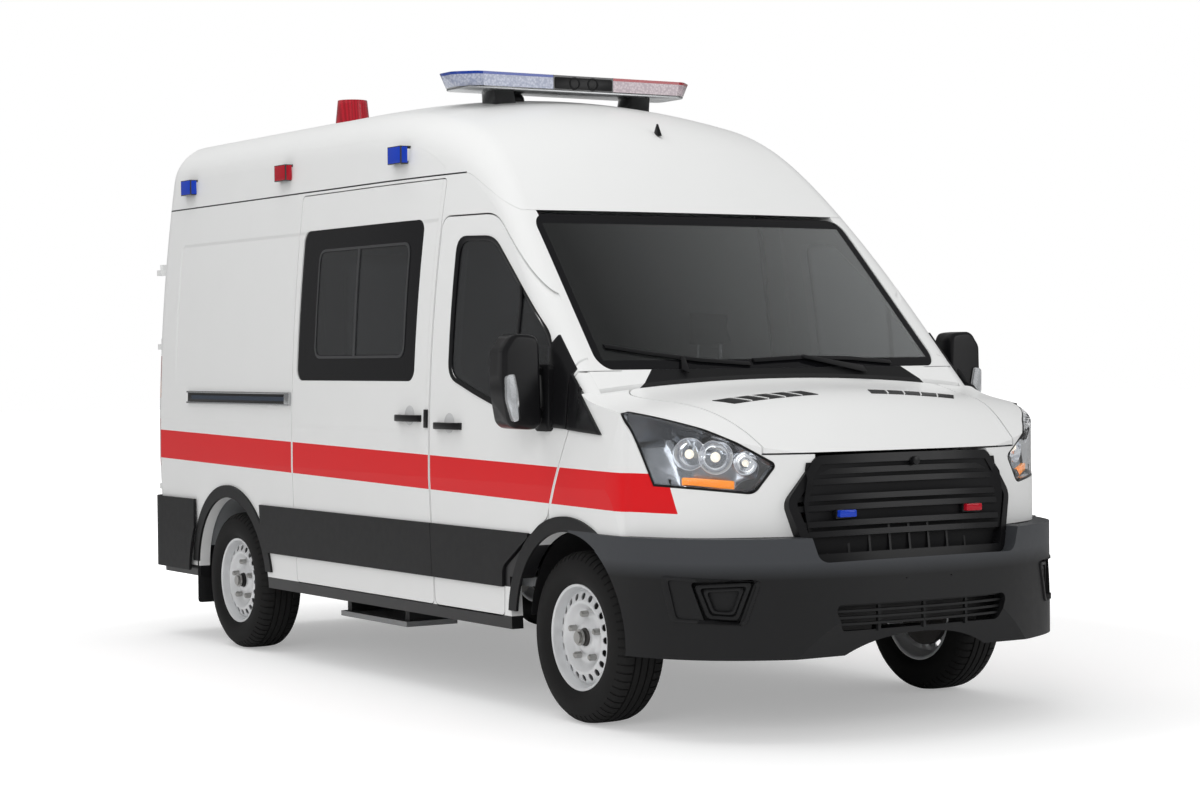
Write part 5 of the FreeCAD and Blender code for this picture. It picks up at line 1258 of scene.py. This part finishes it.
# Name, outline and its corners' radius, thickness, edge round, place behind the leaf, finish, door, slot.
for name, outline, corner, thick, edge, behind, finish, door, slot in (
        ("plate_panel", (0.14, 0.86, 0.70, 1.01), 0.012, 0.004, 0.001, 0.0038, moulded, "left",
         "black_trim"),
        ("plate_lamp_bar", (0.12, 1.020, 0.72, 1.065), 0.010, 0.022, 0.004, 0.0215, satin, "left",
         "black_trim"),
        ("rear_handle", (-0.085, 1.00, -0.035, 1.19), 0.012, 0.024, 0.006, 0.0235, satin, "right",
         "black_trim"),
        ("stop_lamp", (0.10, 2.30, 0.34, 2.335), 0.008, 0.012, 0.003, 0.0115, red_lens, "left",
         "red_lens")):
    piece = slab(name, rectangle(*outline, corner, 3), thick, "Y", edge)
    done(moved(piece, y=leaf_back + behind), finish, "rear_door_" + door)
for side, word in SIDES:
    flap = rectangle(side * FLAP_INNER, FLAP_LOW, side * FLAP_OUTER, FLAP_HIGH, 0.02, 3)
    done(moved(slab("mud_flap_" + word, flap, 0.006, "Y", 0.002), y=back(FLAP_BACK)), moulded)

# ---------------------------------------------------------------------------
# Cab seats: steel-framed bases with moulded foam cushions under sewn woven
# covers, each with a bolstered back and a head rest on two chromed posts.
# ---------------------------------------------------------------------------
SEAT_X, SWELL_CAP, VOXEL = 0.47, 0.024, 0.012
BASE_SIZE, BASE_BACK, BASE_Z = (0.40, 0.36, 0.19), 1.945, 0.656
POST_APART, POST_LONG, POST_BACK, POST_Z = 0.064, 0.16, 2.158, 1.480
seat_cloth = grained("seat_cloth", (0.055, 0.058, 0.066, 1), (0.085, 0.088, 0.098, 1), 900, 0.85,
                     0.0003, spread=0.1, specular=0.2)
base_grey = grained("seat_base", (0.03, 0.03, 0.032, 1), (0.045, 0.045, 0.047, 1), 600, 0.6, 0.0001)


def block(name, size):
    """A box of three sides about the origin, open in edit mode."""
    piece = begin("cube", name, size=1)
    edit(piece)
    bpy.ops.transform.resize(value=size, center_override=(0, 0, 0))
    return piece


def pillow(name, size, at, height, tilt, waist):
    """A foam block with soft edges, a slightly narrower end, turned back by a tilt."""
    foam = block(name, size)
    bpy.ops.mesh.subdivide(number_cuts=7)
    close()
    for point in foam.data.vertices:
        u, w = point.co.x / size[0] * 2, point.co.z / size[2] * 2
        point.co.x *= 1 - waist * (0.5 + 0.5 * w)
        point.co.y *= 1 - 0.12 * u * u
    bevel(foam, min(size) * 0.28, 3)
    return moved(foam, SEAT_X, back(at), height, Matrix.Rotation(math.radians(tilt), 4, "X"))


def swollen(foam):
    """The block blown up by cloth pressure, capped, as filled upholstery stands."""
    done(foam, seat_cloth, smooth=60)
    remesh = foam.modifiers.new("remesh", "REMESH")
    remesh.mode, remesh.voxel_size = "VOXEL", VOXEL
    bpy.ops.object.modifier_apply(modifier="remesh")
    rest = [point.co.copy() for point in foam.data.vertices]
    cloth = foam.modifiers.new("cloth", "CLOTH")
    cloth.settings.use_pressure = True
    cloth.settings.uniform_pressure_force = 4
    cloth.settings.effector_weights.gravity = 0
    for count in range(1, 21):
        bpy.context.scene.frame_set(count)
    bpy.ops.object.modifier_apply(modifier="cloth")
    bpy.context.scene.frame_set(1)
    for point, start in zip(foam.data.vertices, rest):
        shift = point.co - start
        if shift.length > SWELL_CAP:
            point.co = start + shift.normalized() * SWELL_CAP
    finer = foam.modifiers.new("finer", "SUBSURF")
    finer.levels = finer.render_levels = 1
    bpy.ops.object.modifier_apply(modifier="finer")
    bpy.ops.object.shade_smooth()
    return foam


parts = [pillow("seat_cushion", (0.43, 0.40, 0.10), 1.905, 0.815, 3, 0.05),
         pillow("seat_back", (0.41, 0.085, 0.52), 2.118, 1.170, -8, 0.10),
         pillow("head_rest", (0.22, 0.055, 0.15), 2.160, 1.590, -6, 0.06)]
parts = [swollen(part) for part in parts]
for part in parts:
    other = moved_copy(part, part.name + "_passenger", flip_x=True)
    done(other, seat_cloth, smooth=60)
    part.name = part.data.name = part.name + "_driver"
for side, word in SIDES:
    base = block("seat_base_" + word, BASE_SIZE)
    close()
    done(moved(bevel(base, 0.012), side * SEAT_X, back(BASE_BACK), BASE_Z), base_grey)
    for way, letter in ((-1, "a"), (1, "b")):
        post = begin("cylinder", f"head_post_{word}_{letter}", vertices=16, radius=0.006, depth=POST_LONG)
        moved(post, side * SEAT_X + way * POST_APART, back(POST_BACK), POST_Z)
        done(post, chrome_painted_glow)
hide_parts("cab_seats")

# ---------------------------------------------------------------------------
# Camera, light and floor: a wide soft overhead light, a softer one from each side
# of the nose, and a pale floor that holds the vehicle's shadow.
# ---------------------------------------------------------------------------
CAMERA_PLACE = Vector((-6.2541, back(-7.5687), 1.4738))
CAMERA_AZIMUTH, CAMERA_RISE, CAMERA_ROLL = (math.radians(angle) for angle in (-32.17, 1.0, -0.6))
SENSOR_WIDE, LENS_PER_WIDTH = 36, 2.1054
away = Vector((math.sin(CAMERA_AZIMUTH) * math.cos(CAMERA_RISE),
               -math.cos(CAMERA_AZIMUTH) * math.cos(CAMERA_RISE), math.sin(CAMERA_RISE)))
right = Vector((0, 0, 1)).cross(away).normalized()
upward = away.cross(right)
rolled_right = math.cos(CAMERA_ROLL) * right + math.sin(CAMERA_ROLL) * upward
rolled_up = -math.sin(CAMERA_ROLL) * right + math.cos(CAMERA_ROLL) * upward
lens = bpy.data.cameras.new("camera")
lens.sensor_width = SENSOR_WIDE
lens.lens = SENSOR_WIDE * LENS_PER_WIDTH
lens.clip_end = 200
camera = bpy.data.objects.new("camera", lens)
bpy.context.collection.objects.link(camera)
facing = Matrix((rolled_right, rolled_up, away)).transposed().to_4x4()
camera.matrix_world = Matrix.Translation(CAMERA_PLACE) @ facing
bpy.context.scene.camera = camera


def soft_light(name, place, towards, size, power):
    """A square soft box aimed at a point."""
    light = bpy.data.lights.new(name, "AREA")
    light.shape, light.size, light.energy = "SQUARE", size, power
    holder = bpy.data.objects.new(name, light)
    bpy.context.collection.objects.link(holder)
    aim = (Vector(towards) - Vector(place)).to_track_quat("-Z", "Y").to_matrix().to_4x4()
    holder.matrix_world = Matrix.Translation(place) @ aim
    return holder


soft_light("overhead", (-1.5, 1.5, 9.0), (0, -0.3, 0), 9.0, 420).visible_glossy = False
soft_light("front_left_side", (-9.0, -9.0, 5.0), (0, -0.5, 1.2), 6.0, 400).visible_glossy = False
soft_light("nose_side", (6.0, -10.0, 4.0), (0.3, -2.0, 1.0), 5.0, 150)

WORLD_LIGHT, WORLD_SEEN, WORLD_MIRRORED = 0.55, 0.45, 0.30
world = bpy.data.worlds.new("studio")
bpy.context.scene.world = world
world.use_nodes = True
sky = world.node_tree
seen = node(sky, "LightPath").outputs
open_view = sums(sky, "MAXIMUM", seen["Is Camera Ray"], seen["Is Transmission Ray"])
strength = scaled(sky, open_view, WORLD_SEEN, WORLD_LIGHT)
strength = less(sky, strength, times(sky, seen["Is Glossy Ray"], WORLD_MIRRORED))
sky.nodes["Background"].inputs["Color"].default_value = (1, 1, 1, 1)
sky.links.new(strength, sky.nodes["Background"].inputs["Strength"])

FLOOR_GREY, FLOOR_SIZE, FLOOR_GLOW, GLARE_FROM, GLARE_OVER = (0.78, 0.78, 0.78, 1), 120, 0.33, 3.2, 3.5
floor = begin("grid", "studio_floor", x_subdivisions=8, y_subdivisions=8, size=FLOOR_SIZE)
paving, ground, inputs = blank("studio_floor")
inputs["Base Color"].default_value = FLOOR_GREY
inputs["Roughness"].default_value = 0.9
inputs["Specular IOR Level"].default_value = 0.1
inputs["Emission Color"].default_value = (1, 1, 1, 1)
reach = node(ground, "VectorMath", [places(ground)[0]], operation="LENGTH").outputs["Value"]
glare = times(ground, less(ground, reach, GLARE_FROM), 1 / GLARE_OVER)
glare = scaled(ground, clamped(ground, glare), 1.0 - FLOOR_GLOW, FLOOR_GLOW)
seen = node(ground, "LightPath").outputs["Is Camera Ray"]
ground.links.new(times(ground, seen, glare), inputs["Emission Strength"])
floor.data.materials.append(paving)
bpy.context.scene.view_settings.view_transform = "Standard"
